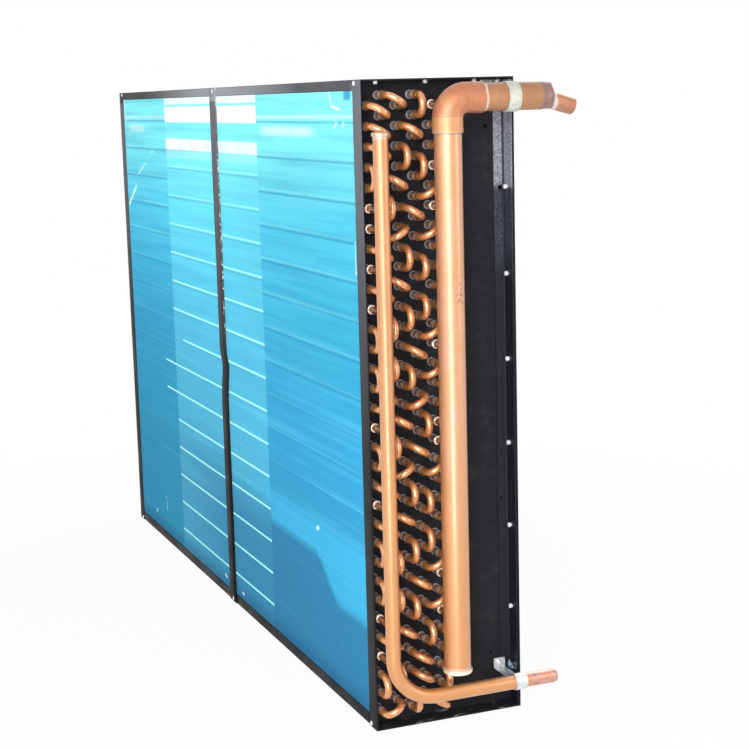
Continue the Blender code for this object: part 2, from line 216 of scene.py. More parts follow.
def powder_coat(name="black_powder_coat", chipped_edge=None, specular=0.05):
    """Black powder coat: orange peel, cloudy gloss, dust, scuffs low down, and bare collar rims.

    The front is darker low down. Higher up it has a painted sheen, its grazing reflection, mixed
    with some dust, which is strongest at the middle of the top rail, where a painted highlight
    lies, and weak at the rail's two ends. A chipped edge is the X of an edge along which the coat
    has come off in bright specks.
    """
    material, shader, place = new_material(name, 0.42, specular=specular)
    across, depth, up = axes_of(place)
    out = maths("ABSOLUTE", across)
    clouds = noise(place, 9.0)
    dust = between(noise(place, 46.0, 8.0), 0.52, 0.8)
    front = between(depth, FRONT + 0.0012, FRONT + 0.0004)
    # Darker low down on the front.
    front_darker_low = times(front, between(up, 0.45, 0.2, 0.0, 0.8))
    # Painted sheen on the front faces: their grazing reflection, mixed with some dust, lighter
    # higher up and weaker at the top rail's two ends.
    rail = times(front, between(up, RAIL_FROM, RAIL_FULL))
    far_end = between(across, -0.2, -0.45, 0.0, 0.75)
    near_end = times(between(across, 0.3, 0.42, 0.0, 0.5), between(across, 0.6, 0.595))
    dimmer = times(rail, maths("MAXIMUM", far_end, near_end))
    film = times(front, between(up, 0.35, 0.85, 0.0, 0.85), maths("SUBTRACT", 1.0, dimmer))
    # Painted highlight in the middle of the top rail.
    rail_highlight = times(rail, between(across, -0.33, -0.05), between(across, 0.4, 0.05), 0.8)
    scratches = noise(place, 110.0, 6.0, stretch=(1, 0.3, 1), offset=(3.1, 0.7, 0))
    low = times(between(up, 0.0045, 0.0015), between(out, PLATE_INNER, PLATE_OUTER))
    scuff = times(between(scratches, 0.6, 0.65), low)
    colour = painted(
        mixed(clouds, (0.013, 0.013, 0.016), (0.023, 0.023, 0.027)),
        (times(dust, 0.14), (0.13, 0.12, 0.12)),
        (front_darker_low, (0.004, 0.004, 0.004)),
        (film, (0.16, 0.165, 0.185)),
        (rail_highlight, (0.34, 0.36, 0.38)),
        (scuff, (0.2, 0.185, 0.17)),
    )
    if chipped_edge is not None:
        specks = between(noise(place, 240.0, 2.0), 0.56, 0.62)
        edge = within(across, chipped_edge - 0.004, chipped_edge + 0.004, 0.002)
        chips = times(specks, edge, between(up, 0.42, 0.5))
        colour = mixed(chips, colour, (0.75, 0.75, 0.75))
    rim = times(
        between(out, PLATE_OUTER + COLLAR_RISE * 0.3, PLATE_OUTER + COLLAR_RISE * 0.6),
        within(depth, FRONT + LIP_BAND, REAR - LIP_BAND, 0.0002),
        within(up, LIP_BAND, FRAME_TOP - LIP_BAND, 0.0002),
    )
    colour = mixed(times(rim, 0.9), colour, (0.46, 0.5, 0.56))
    connect(times(rim, 0.4), shader, "Metallic")
    connect(colour, shader, "Base Color")
    connect(between(clouds, 0.3, 0.7, 0.36, 0.52), shader, "Roughness")
    bumped(shader, noise(place, 620.0, 2.0), 0.0004, 0.25)
    return material


def fold_path(flange, thickness, radius):
    """Half a fold as seen along it: how far in from the sheet's edge and how far up, of both skins.

    The inner skin turns a quarter circle of the fold's radius and the outer one a circle wider by
    the wall, about one centre, and both run on to the lip's end.
    """
    turn = np.linspace(0, np.pi / 2, FOLD_STEPS + 1)
    wide = radius + thickness
    inner = np.stack([wide - radius * np.sin(turn), wide - radius * np.cos(turn)], axis=1)
    outer = np.stack([wide - wide * np.sin(turn), wide - wide * np.cos(turn)], axis=1)
    inner = np.vstack([inner, (thickness, flange)])
    outer = np.vstack([outer, (0.0, flange)])
    return inner, outer


def folded_edge(samples, low, high, flange, thickness, radius, tuck):
    """One lip in (along, in, up): samples are the places along it where it leaves the flat sheet.

    low and high are the lip's own ends. The fold runs out towards them as it turns, by the share
    of the turn that it has made, which leaves a notch at each corner.
    """
    inner, outer = fold_path(flange, thickness, radius)
    share = np.minimum(np.arange(len(inner)) / FOLD_STEPS, 1.0)[:, None]
    start = samples[0] + (low + tuck - samples[0]) * share
    end = samples[-1] + (high - tuck - samples[-1]) * share
    along = start + (end - start) * (samples - samples[0]) / (samples[-1] - samples[0])
    skins = []
    for profile in (inner, outer):
        depth = np.repeat(profile[:, :1], len(samples), axis=1)
        up = np.repeat(profile[:, 1:], len(samples), axis=1)
        skins.append(np.stack([along, depth, up], axis=-1))
    inside, outside = skins
    rim = np.stack([inside[-1], outside[-1]])
    ends = [np.stack([inside[:, side], outside[:, side]]) for side in (0, -1)]
    return [inside, outside, rim, *ends]


def flat_skins(across, along, thickness):
    """Both skins of a flat stretch of sheet, in (across, along, up)."""
    first, second = np.meshgrid(across, along, indexing="ij")
    return [np.stack([first, second, np.full_like(first, up)], axis=-1) for up in (0, thickness)]


def collared_hole(across, along, centre, thickness):
    """A rectangle of sheet with a round hole whose rim is drawn up into a collar.

    across and along are the samples on the rectangle's sides. Each point of its edge goes in
    towards the hole at its own angle, up the collar, down through the hole and out again below.
    """
    edge = np.concatenate(
        [
            np.stack([across, np.full_like(across, along[0])], axis=1)[:-1],
            np.stack([np.full_like(along, across[-1]), along], axis=1)[:-1],
            np.stack([across[::-1], np.full_like(across, along[-1])], axis=1)[:-1],
            np.stack([np.full_like(along, across[0]), along[::-1]], axis=1),
        ]
    )
    spoke = edge - centre
    spoke /= np.linalg.norm(spoke, axis=1, keepdims=True)
    mouth = HOLE_RADIUS + COLLAR_WALL
    profile = (
        (COLLAR_FOOT, thickness),
        ((COLLAR_FOOT + mouth) / 2 - COLLAR_WALL, thickness + 0.3 * COLLAR_RISE),
        (mouth, thickness + COLLAR_RISE),
        (HOLE_RADIUS, thickness + COLLAR_RISE),
        (HOLE_RADIUS, 0.0),
    )
    rings = [np.column_stack([edge, np.full(len(edge), thickness)])]
    for radius, up in profile:
        rings.append(np.column_stack([centre + spoke * radius, np.full(len(edge), up)]))
    rings.append(np.column_stack([edge, np.zeros(len(edge))]))
    return np.stack(rings)


def folded_sheet(wide, high, flange, thickness, radius, columns, rows):
    """A sheet with four folded lips, in (across, along, up) from its middle, without its flat.

    columns and rows are the samples of the flat stretch, where the lips join it.
    """
    half_wide, half_high = wide / 2, high / 2
    grids = []
    for side in (-1, 1):
        for grid in folded_edge(rows, -half_high, half_high, flange, thickness, radius, 0.0):
            along, depth, up = np.moveaxis(grid, -1, 0)
            grids.append(np.stack([side * (half_wide - depth), along, up], axis=-1))
        tuck = thickness + 0.0004
        for grid in folded_edge(columns, -half_wide, half_wide, flange, thickness, radius, tuck):
            along, depth, up = np.moveaxis(grid, -1, 0)
            grids.append(np.stack([along, side * (half_high - depth), up], axis=-1))
    return grids


def tube_places(column):
    """The heights of a column's tubes: the odd columns start half a pitch lower than the even."""
    drop = 0.75 if column % 2 else 0.25
    return FIN_HIGH.z - TUBE_PITCH * (np.arange(TUBES_HIGH) + drop)


def tube_sheet():
    """The end plate in (across, along, up): five columns of collared holes, then the plenum."""
    wide, high = REAR - FRONT, FRAME_TOP
    middle = (FRONT + REAR) / 2, FRAME_TOP / 2
    margin = PLATE_FOLD + PLATE_THICKNESS
    step = TUBE_PITCH / CELL_STEPS_UP
    first = tube_places(2)[0] + TUBE_PITCH / 2
    count = (TUBES_HIGH + 0.5) * CELL_STEPS_UP
    rows = first - middle[1] - step * np.arange(round(count) + 1)[::-1]
    rows = np.concatenate([[margin - high / 2], rows, [high / 2 - margin]])
    grids, samples = [], []
    for column in range(1, COLUMNS + 1):
        start = FRONT + COLUMN_PITCH * (column - 1) if column > 1 else FRONT + margin
        end = FRONT + COLUMN_PITCH * column
        across = np.linspace(start, end, CELL_STEPS_ACROSS + 1) - middle[0]
        samples.append(across[:-1])
        tubes = tube_places(column) - middle[1]
        top, bottom = tubes[0] + TUBE_PITCH / 2, tubes[-1] - TUBE_PITCH / 2
        grids += flat_skins(across, rows[rows > top - step / 2], PLATE_THICKNESS)
        grids += flat_skins(across, rows[rows < bottom + step / 2], PLATE_THICKNESS)
        axis = FRONT + COLUMN_PITCH * (column - 0.5) - middle[0]
        for tube in tubes:
            along = tube + step * np.arange(-CELL_STEPS_UP // 2, CELL_STEPS_UP // 2 + 1)
            grids.append(collared_hole(across, along, (axis, tube), PLATE_THICKNESS))
    plenum = np.array([FIN_HIGH.y, REAR - margin]) - middle[0]
    grids += flat_skins(plenum, rows, PLATE_THICKNESS)
    columns = np.concatenate([*samples, plenum])
    flange = LIP_END - PLATE_INNER
    grids += folded_sheet(wide, high, flange, PLATE_THICKNESS, PLATE_FOLD, columns, rows)
    return grids


def set_in_place(grids, across, along, up, middle):
    """Carries (across, along, up) of each grid to three directions about a place."""
    axes = np.stack([across, along, up])
    return [grid @ axes + np.asarray(middle) for grid in grids]


coat = powder_coat()
sheet = tube_sheet()
for end, side in (("header_end", 1), ("far_end", -1)):
    middle = (side * PLATE_INNER, (FRONT + REAR) / 2, FRAME_TOP / 2)
    grids = set_in_place(sheet, Y_AXIS, Z_AXIS, side * X_AXIS, middle)
    replaced = (f"{end}_plate",)
    make_piece(f"{end}_tube_sheet", grids, coat, 50, replaced)


# Top and bottom plates. Thin folded trays that close the frame over and under the fins. Their
# long edges turn in over the fin face, and their short ones lie against the end plates.
CHANNEL_THICKNESS = 0.0015
CHANNEL_FOLD = 0.0008

for name, node_name, up in (("bottom_tray", "bottom_plate", 1), ("top_tray", "top_plate", -1)):
    low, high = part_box(node_name)
    wide, deep, flange = high - low
    margin = CHANNEL_FOLD + CHANNEL_THICKNESS
    across = np.array([margin - wide / 2, wide / 2 - margin])
    along = np.array([margin - deep / 2, deep / 2 - margin])
    grids = flat_skins(across, along, CHANNEL_THICKNESS)
    grids += folded_sheet(wide, deep, flange, CHANNEL_THICKNESS, CHANNEL_FOLD, across, along)
    middle = (0, (low.y + high.y) / 2, low.z if up > 0 else high.z)
    grids = set_in_place(grids, X_AXIS, Y_AXIS, up * Z_AXIS, middle)
    make_piece(name, grids, coat, 50, (node_name,))


# Rear edge angle. A strip of thin galvanised steel folded to an L and riveted into the corner
# between the header end plate and its rear lip. Its grey coat is light and speckled near the top.
ANGLE_THICKNESS = 0.0015
ANGLE_FOLD = 0.001
ANGLE_LIGHT_ABOVE = 0.7
ANGLE_DARK_BELOW = 0.6


def grey_coat():
    """Grey primer, light and speckled at its head and darker below; painted shade in its fold."""
    material, shader, place = new_material("grey_primer", 0.5, specular=0.4)
    across, depth, up = axes_of(place)
    speckle = noise(place, 420.0, 3.0)
    tones = (
        (0.35, 0.65, (0.12, 0.13, 0.16), (0.36, 0.37, 0.42)),
        (0.4, 0.7, (0.018, 0.021, 0.031), (0.07, 0.078, 0.1)),
        (0.45, 0.75, (0.005, 0.006, 0.012), (0.016, 0.017, 0.028)),
    )
    light, thin, dark = (
        mixed(between(speckle, low, high), first, second) for low, high, first, second in tones
    )
    clouds = noise(place, 14.0, 5.0)
    edge = maths("ADD", up, times(maths("SUBTRACT", clouds, 0.5), 0.05))
    # Painted shade: a dark line inside the fold between the two legs.
    painted_crease_shade = times(
        between(across, PLATE_OUTER + 0.0048, PLATE_OUTER + 0.004),
        between(depth, REAR - 0.0063, REAR - 0.0055),
    )
    colour = painted(
        dark,
        (between(edge, ANGLE_DARK_BELOW - 0.03, ANGLE_DARK_BELOW + 0.03), thin),
        (between(edge, ANGLE_LIGHT_ABOVE - 0.006, ANGLE_LIGHT_ABOVE + 0.006), light),
        (times(painted_crease_shade, 0.9), (0.008, 0.008, 0.014)),
    )
    connect(colour, shader, "Base Color")
    bumped(shader, speckle, 0.0003, 0.3)
    return material


def unit(vector):
    """The vector divided by its own length."""
    return vector / np.linalg.norm(vector)


def rounded_path(points, radius, steps):
    """A path of straight stretches whose corners are arcs of one radius, touching both sides.

    Each arc's spokes go from one touching point to the other in equal turns about its centre.
    """
    points = [np.asarray(point, float) for point in points]
    line = [points[0]]
    for before, corner, after in zip(points, points[1:], points[2:]):
        into, out = unit(corner - before), unit(after - corner)
        angle = math.acos(np.clip(into @ out, -1, 1))
        centre = corner + unit(out - into) * radius / math.cos(angle / 2)
        reach = radius * math.tan(angle / 2)
        first, last = corner - into * reach - centre, corner + out * reach - centre
        turn = np.linspace(0, 1, steps + 1)[:, None] * angle
        line.extend(centre + (first * np.sin(angle - turn) + last * np.sin(turn)) / math.sin(angle))
    line.append(points[-1])
    return np.array(line)


def directions_of(path):
    """The way a path goes at each of its points: along the line from the last to the next."""
    steps = np.diff(path, axis=0)
    steps /= np.linalg.norm(steps, axis=1, keepdims=True)
    ways = np.concatenate([steps[:1], steps[:-1] + steps[1:], steps[-1:]])
    return ways / np.linalg.norm(ways, axis=1, keepdims=True)


def strip_grids(path, direction, length, thickness):
    """A strip of sheet: its middle line, half a wall to either side, swept by a length."""
    side = np.cross(directions_of(path), direction) * thickness / 2
    sweep = np.asarray(direction) * length
    first, second = (np.stack([skin, skin + sweep], axis=1) for skin in (path - side, path + side))
    edges = [np.stack([first[row], second[row]]) for row in (0, -1)]
    sides = [np.stack([first[:, side], second[:, side]]) for side in (0, 1)]
    return [first, second, *edges, *sides]


angle_low, angle_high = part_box("rear_edge_angle")
inset = ANGLE_THICKNESS / 2
legs = (
    (angle_low.x + inset, angle_low.y, angle_low.z),
    (angle_low.x + inset, angle_high.y - inset, angle_low.z),
    (angle_high.x, angle_high.y - inset, angle_low.z),
)
legs = rounded_path(legs, ANGLE_FOLD + inset, FOLD_STEPS)
grids = strip_grids(legs, Z_AXIS, angle_high.z - angle_low.z, ANGLE_THICKNESS)
make_piece("rear_corner_angle", grids, grey_coat(), 50, ("rear_edge_angle",))


# Centre support. A narrow strip of the same black sheet down the middle of the fin face, which
# keeps the long fin pack from bowing. A knock bent it sideways a little under half its height.
BAR_KINK = 0.011
BAR_KINK_LEVEL = 0.4
BAR_KINK_ABOVE = 0.014
BAR_KINK_BELOW = 0.035
BAR_SKIN = 0.001
BAR_ROUNDING = 0.0003
BAR_STEPS = 120

low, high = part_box("centre_support")
levels = np.linspace(low.z, high.z, BAR_STEPS + 1)
rise = levels - BAR_KINK_LEVEL
spread = np.where(rise > 0, BAR_KINK_ABOVE, BAR_KINK_BELOW)
kink = BAR_KINK * np.exp(-((rise / spread) ** 2))
back, face = high.y, high.y - BAR_SKIN
section = np.array(
    [
        (low.x, back),
        (low.x, face + BAR_ROUNDING),
        (low.x + BAR_ROUNDING, face),
        (high.x - BAR_ROUNDING, face),
        (high.x, face + BAR_ROUNDING),
        (high.x, back),
        (low.x, back),
    ]
)
across = section[None, :, 0] + kink[:, None]
depth = np.repeat(section[None, :, 1], len(levels), axis=0)
up = np.repeat(levels[:, None], len(section), axis=1)
wall = np.stack([across, depth, up], axis=-1)
ends = []
for row in (0, -1):
    rim = wall[row, :-1]
    ends.append(np.stack([rim[:3], rim[:2:-1]]))
bar_coat = powder_coat("bar_powder_coat", high.x, 0.03)
make_piece("centre_bar", [wall, *ends], bar_coat, 50, ("centre_support",))


# Fins. Hundreds of thin aluminium plates with a blue hydrophilic coat, two millimetres apart,
# pressed over the tubes and held by them. Their free edges waver a little from handling.
FIN_PITCH = 0.00212
FIN_THICKNESS = 0.00016
FIN_LEVELS = 9
FIN_WAVER = 0.00022
FIN_FREE_EDGE = 0.009
FIN_SEED = 11
LINE_SPACING = 0.0507
FIRST_LINE = 0.054
LINE_DROP = 0.39
ZONE_LEFT = -0.302
ZONE_RIGHT = 0.212


def stroke(spot, start, end, width):
    """1 within half a width of the line from start to end, both (X, Z), and 0 outside.

    The nearest point of the line is its start plus the clamped share of the way that the spot
    has come along it. The distance to that point is what counts.
    """
    start, end = Vector((start[0], 0, start[1])), Vector((end[0], 0, end[1]))
    way = end - start
    kind = "ShaderNodeVectorMath"
    offset = node(kind, {0: spot, 1: start}, operation="SUBTRACT")
    along = node(kind, {0: offset, 1: way}, output=1, operation="DOT_PRODUCT")
    inputs = {0: along, 1: way.length_squared}
    share = node("ShaderNodeMath", inputs, operation="DIVIDE", use_clamp=True)
    nearest = node(kind, {0: way, "Scale": share}, operation="SCALE")
    gap = node(kind, {0: offset, 1: nearest}, output=1, operation="DISTANCE")
    return between(gap, width * 0.6, width * 0.4)


def fin_coat():
    """Blue fin coat, with painted light: paler towards the top and deeper low down.

    A faint line of painted highlight runs along every second tube row, with painted shadow
    just under it, and lies a share of the spacing lower outside the paler stretch. The face
    that the air enters has more: that stretch, made paler by painted sheen, with bright lines
    of painted highlight and bands of painted glare, a darker foot, and small bright knocks.
    """
    material, shader, place = new_material("coated_fins", 0.36, 0.1, specular=0.5)
    across, depth, up = axes_of(place)
    spot = node("ShaderNodeCombineXYZ", {"X": across, "Z": up})
    # Painted light: the ramp makes the coat paler towards the top and deeper low down.
    wander = noise(place, 5.0, 3.0, stretch=(0.5, 1, 1))
    height = maths("ADD", up, times(maths("SUBTRACT", wander, 0.5), 0.06))
    base = node("ShaderNodeValToRGB", {0: maths("DIVIDE", height, FRAME_TOP)})
    stops = (
        (0.2, (0.038, 0.33, 0.56)),
        (0.36, (0.042, 0.39, 0.65)),
        (0.5, (0.05, 0.45, 0.72)),
        (0.64, (0.072, 0.59, 0.83)),
        (0.78, (0.13, 0.74, 0.93)),
        (0.9, (0.28, 0.94, 0.97)),
        (1.0, (0.32, 0.96, 0.98)),
    )
    marks = base.node.color_ramp.elements
    while len(marks) < len(stops):
        marks.new(0.5)
    for mark, (position, shade) in zip(marks, stops):
        mark.position = position
        mark.color = (*shade, 1)
    right = between(across, ZONE_RIGHT + 0.001, ZONE_RIGHT - 0.001)
    zone = times(between(across, ZONE_LEFT - 0.001, ZONE_LEFT + 0.001), right)
    entered = between(depth, FIN_LOW.y + 0.04, FIN_LOW.y + 0.03)
    outside = maths("SUBTRACT", 1.0, times(zone, entered))
    raised = maths("ADD", up, times(outside, LINE_SPACING * LINE_DROP))
    rows = []
    for level in (up, raised):
        turns = maths("DIVIDE", maths("SUBTRACT", level, FIRST_LINE), LINE_SPACING)
        turns = maths("FRACT", maths("ADD", turns, 0.5))
        rows.append(times(maths("SUBTRACT", turns, 0.5), LINE_SPACING))
    line, row = rows
    # Painted highlight along each row's line, and painted shadow just under it.
    bright = within(row, -0.0017, 0.0017, 0.0006)
    under = within(row, -0.0058, -0.003, 0.001)
    streaks = noise(place, 75.0, 4.0, stretch=(0.03, 1, 1), offset=(0.0, 0.0, 2.7))
    plain = painted(
        base,
        (times(under, between(up, 0.25, 0.7, 0.36, 0.5)), (0.02, 0.3, 0.55)),
        (times(bright, between(up, 0.35, 0.75, 0.1, 0.45)), (0.4, 0.95, 1.0)),
        (between(streaks, 0.4, 0.7, 0.0, 0.3), (0.03, 0.32, 0.58)),
        (between(streaks, 0.5, 0.25, 0.0, 0.25), (0.2, 0.85, 1.0)),
    )

    left_side = between(across, ZONE_LEFT + 0.001, ZONE_LEFT - 0.001)
    deep = times(left_side, between(up, 0.75, 0.1, 0.05, 0.6))
    # Painted sheen: the paler stretch of fins.
    pale = times(zone, between(up, 0.2, 0.7, 0.22, 0.27))
    near_end = times(
        between(across, -0.1, 0.4, 0.0, 0.22),
        between(up, 0.3, 0.55),
        between(up, 0.82, 0.7, 0.4, 1.0),
    )
    step_one = between(across, -0.002, 0.002, 0.0, 0.023)
    step_two = between(across, ZONE_RIGHT - 0.002, ZONE_RIGHT + 0.002, 0.0, 0.024)
    step_three = between(across, 0.405, 0.505, 0.0, 0.054)
    steps = maths("ADD", maths("ADD", step_one, step_two), step_three)
    over = maths("SUBTRACT", maths("ADD", up, steps), 0.236)
    band = times(between(over, -0.01, 0.01), between(up, 0.26, 0.22))
    band = times(band, between(across, 0.0, 0.3, 0.1, 0.5))
    beyond = between(across, ZONE_RIGHT - 0.002, ZONE_RIGHT + 0.002)
    low = times(between(over, 0.01, -0.012), beyond, 0.8)
    afar = times(between(over, 0.05, -0.06), maths("SUBTRACT", 1.0, beyond))
    afar = times(afar, between(across, -0.4, 0.1, 0.1, 0.8))

    # Painted highlight: the bright lines in the paler stretch.
    long_line = times(within(up, 0.28, 0.385, 0.001), 0.069)
    short_line = times(within(up, 0.386, 0.43, 0.001), 0.055)
    start = maths("ADD", maths("SUBTRACT", across, short_line), long_line)
    lined = times(between(start, ZONE_LEFT - 0.001, ZONE_LEFT + 0.001), right)
    zone_glint_lines = times(between(up, 0.72, 0.45, 0.3, 0.95), between(up, 0.74, 0.73))
    zone_glint_lines = times(zone_glint_lines, lined, within(line, -0.0017, 0.0017, 0.0006))

    fade = between(across, -0.3, 0.2, 1.0, 0.7)
    patchy = between(noise(place, 30.0, 3.0, stretch=(1, 1, 0.2)), 0.3, 0.6, 0.8, 1.0)
    glare = (
        (0.7885, 0.8145, 0.0008, zone),
        (0.8185, 0.84, 0.0008, zone, 0.85),
        (0.742, 0.7605, 0.0008, zone, fade),
        (0.728, 0.742, 0.004, zone, fade, 0.22),
        (0.7955, 0.8, 0.001, 0.35),
        (0.772, 0.784, 0.004, within(across, 0.235, 0.45, 0.03), 0.5),
        (0.77, 0.784, 0.005, within(across, -0.56, -0.45, 0.02), 0.4),
    )
    layers = []
    for lower, upper, soft, *shares in glare:
        layers.append((times(within(up, lower, upper, soft), *shares, patchy), (1.0, 1.0, 1.0)))
    corner = times(within(across, 0.57, 0.594, 0.004), within(up, 0.818, 0.84, 0.003))
    colour = painted(
        plain,
        (deep, (0.03, 0.38, 0.58)),
        (pale, (0.3, 0.96, 1.0)),
        (near_end, (0.0, 0.06, 0.1)),
        (band, (0.08, 0.6, 0.88)),
        (low, (0.033, 0.23, 0.42)),
        (afar, (0.033, 0.25, 0.44)),
        (between(up, 0.05, 0.02, 0.0, 0.45), (0.012, 0.1, 0.24)),
        (zone_glint_lines, (0.5, 1.0, 1.0)),
        *layers,
        (times(corner, 0.75), (0.03, 0.24, 0.5)),
    )
    scratches = (
        ((-0.592, 0.632), (-0.532, 0.668), 0.007),
        ((-0.594, 0.827), (-0.588, 0.79), 0.006),
        ((-0.509, 0.692), (-0.45, 0.714), 0.003),
        ((-0.405, 0.734), (-0.398, 0.736), 0.005),
        ((0.517, 0.829), (0.526, 0.811), 0.004),
        ((0.526, 0.811), (0.552, 0.807), 0.004),
        ((0.535, 0.784), (0.542, 0.79), 0.004),
        ((0.566, 0.786), (0.568, 0.789), 0.005),
        ((0.596, 0.64), (0.597, 0.6), 0.003),
        ((-0.494, 0.044), (-0.492, 0.046), 0.006),
        ((-0.418, 0.089), (-0.416, 0.063), 0.002),
        ((0.419, 0.225), (0.424, 0.228), 0.006),
        ((0.048, 0.029), (0.056, 0.027), 0.004),
        ((-0.046, 0.034), (-0.038, 0.032), 0.004),
    )
    ragged = between(noise(place, 180.0, 2.0), 0.3, 0.5, 0.3, 1.0)
    for first, last, width in scratches:
        share = times(stroke(spot, first, last, width), ragged)
        colour = mixed(share, colour, (0.75, 1.0, 1.0))
    connect(mixed(entered, plain, colour), shader, "Base Color")
    return material


def fin_grids(first, last):
    """Fins from one X to another: each is a slab whose free edges stray sideways at each level.

    A ring of eight corners, four on each side from front edge to rear, is stacked up its height.
    """
    count = round((last - first) / FIN_PITCH)
    middles = first + (last - first) * (np.arange(count) + 0.5) / count
    stray = random.normal(0.0, FIN_WAVER, (count, FIN_LEVELS, 2))
    front, back = FIN_LOW.y + 0.0003, FIN_HIGH.y - 0.0003
    depths = np.array([front, front + FIN_FREE_EDGE, back - FIN_FREE_EDGE, back])
    order = [0, 1, 2, 3, 3, 2, 1, 0, 0]
    sides = np.array([1, 1, 1, 1, -1, -1, -1, -1, 1]) * FIN_THICKNESS / 2
    levels = np.linspace(FIN_LOW.z + 0.0003, FIN_HIGH.z - 0.0003, FIN_LEVELS)
    bend = np.zeros((count, FIN_LEVELS, 4))
    bend[:, :, 0] = stray[:, :, 0]
    bend[:, :, 3] = stray[:, :, 1]
    grids = []
    for middle, lean in zip(middles, bend):
        x = middle + lean[:, order] + sides
        y = np.broadcast_to(depths[order], x.shape)
        z = np.broadcast_to(levels[:, None], x.shape)
        wall = np.stack([x, y, z], axis=-1)
        caps = [np.stack([wall[row, :4], wall[row, 7:3:-1]]) for row in (0, -1)]
        grids += [wall, *caps]
    return grids


random = np.random.default_rng(FIN_SEED)
blue = fin_coat()
for name, first, last in (("fins_left", FIN_LOW.x, 0.0), ("fins_right", 0.0, FIN_HIGH.x)):
    make_piece(name, fin_grids(first, last), blue, 50, ("fin_pack",))


# Circuits. Eight runs of 3/8 in copper tube, twenty tubes each, with a hairpin at the far end
# and a return bend at the header end in turn. Each tube is belled outside the end plate, and the
# return bend is brazed into the bells, which leaves them pale and the stubs dull. Their pale band
# is widened over the bells into a painted highlight.
CIRCUITS = (
    (1, 11, "3878838797939213388"),
    (1, 13, "2323887997879832298"),
    (1, 17, "2322989229887838798"),
    (1, 21, "2222298893122938798"),
    (1, 33, "2223238879788323883"),
    (1, 41, "2312929838387838798"),
    (1, 53, "8832921323888977992"),
    (1, 57, "8322722938832388888"),
)
KEY_STEPS = {"8": (0, -2), "2": (0, 2), "9": (1, -1), "3": (1, 1), "7": (-1, -1), "1": (-1, 1)}
RETURN_BEND_LEG = 0.0295
HAIRPIN_LEG = 0.005
BEND_STEPS = 12
TUBE_SIDES = 16
BELL_STATIONS = (0.0, 0.0088, 0.0106, 0.0118, 0.0182, 0.019, 0.0202)
BELL_RADII = (0.00476, 0.00476, 0.0051, 0.0057, 0.0057, 0.006, 0.0049)


def copper(name, roughness=0.3, gloss=0.8, tones=((0.6, 0.25, 0.095), (0.62, 0.28, 0.14))):
    """Drawn copper: bright orange, with pinker and browner clouds, and fine streaks in its gloss.

    A thin film of oxide and oil makes it partly dull, and gives its highlights a pale tone.
    """
    material, shader, place = new_material(name, roughness, 0.5)
    shader.inputs["Coat Weight"].default_value = gloss
    shader.inputs["Coat Roughness"].default_value = roughness
    shader.inputs["Coat IOR"].default_value = 1.8
    clouds = noise(place, 22.0, 5.0)
    fine = noise(place, 160.0, 4.0)
    colour = mixed(between(clouds, 0.35, 0.65), *tones)
    colour = mixed(between(fine, 0.58, 0.8, 0, 0.4), colour, (0.42, 0.17, 0.08))
    streaky = between(fine, 0.3, 0.7, roughness - 0.06, roughness + 0.1)
    connect(streaky, shader, "Roughness")
    bumped(shader, fine, 0.0003, 0.15)
    return material, shader, place, colour


def circuit_copper():
    """The circuits' copper: dull by the plate, pale at the brazed bells, blue inside the fins.

    The pale band at the bells is widened into a painted highlight. The bends beyond the brazed
    joints look more like bare metal than the stubs and bells do.
    """
    tones = (0.62, 0.235, 0.065), (0.66, 0.275, 0.1)
    material, shader, place, colour = copper("circuit_copper", 0.24, 1.0, tones)
    along = axes_of(place)["X"]
    out = maths("SUBTRACT", along, PLATE_OUTER)
    patches = noise(place, 70.0, 3.0)
    dull = between(out, 0.0115, 0.0075)
    # Pale braze, widened over the bells into a painted highlight.
    braze_and_highlight = within(out, 0.0135, 0.0215, 0.0015)
    burnt = within(out, 0.0215, 0.027, 0.002)
    inside = between(maths("ABSOLUTE", along), PLATE_INNER, PLATE_INNER - 0.001)
    colour = painted(
        colour,
        (times(dull, 0.7), (0.4, 0.15, 0.07)),
        (times(braze_and_highlight, between(patches, 0.35, 0.6, 0.45, 0.95)), (0.95, 0.84, 0.74)),
        (times(burnt, between(patches, 0.5, 0.65, 0, 0.7)), (0.42, 0.28, 0.1)),
        (inside, (0.02, 0.3, 0.6)),
    )
    connect(between(out, 0.021, 0.025, 0.15, 0.5), shader, "Metallic")
    connect(colour, shader, "Base Color")
    return material


def swept(centres, directions, radii, sides):
    """A round section carried along a path: ring i lies square to directions[i].

    Each ring's first spoke is the last ring's, less its part along the new direction, so the
    rings don't twist. A point is its centre plus the radius times the turned spoke.
    """
    spoke = np.cross(directions[0], (0.3, 0.5, 0.8))
    spokes = []
    for direction in directions:
        spoke = unit(spoke - direction * (spoke @ direction))
        spokes.append(spoke)
    spokes = np.array(spokes)
    others = np.cross(directions, spokes)
    turn = np.linspace(0, 2 * np.pi, sides + 1)
    turn[-1] = 0.0
    round_part = spokes[:, None] * np.cos(turn)[:, None] + others[:, None] * np.sin(turn)[:, None]
    return centres[:, None] + np.asarray(radii)[:, None, None] * round_part


def closed(centres, directions, radii):
    """The same rings with both ends drawn in to a point."""
    centres = np.concatenate([centres[:1], centres, centres[-1:]])
    directions = np.concatenate([directions[:1], directions, directions[-1:]])
    return centres, directions, np.concatenate([[0.0], radii, [0.0]])


def circuit_tubes(column, level, moves):
    """The Y and Z of a circuit's tubes, one after the other."""
    tubes = [(column, level)]
    for key in moves:
        across, down = KEY_STEPS[key]
        column, level = column + across, level + down
        tubes.append((column, level))
    columns, levels = np.array(tubes, float).T
    y = FRONT + COLUMN_PITCH * (columns - 0.5)
    z = FIN_HIGH.z - TUBE_PITCH * (levels + 0.5) / 2
    return np.column_stack([np.zeros(len(tubes)), y, z])


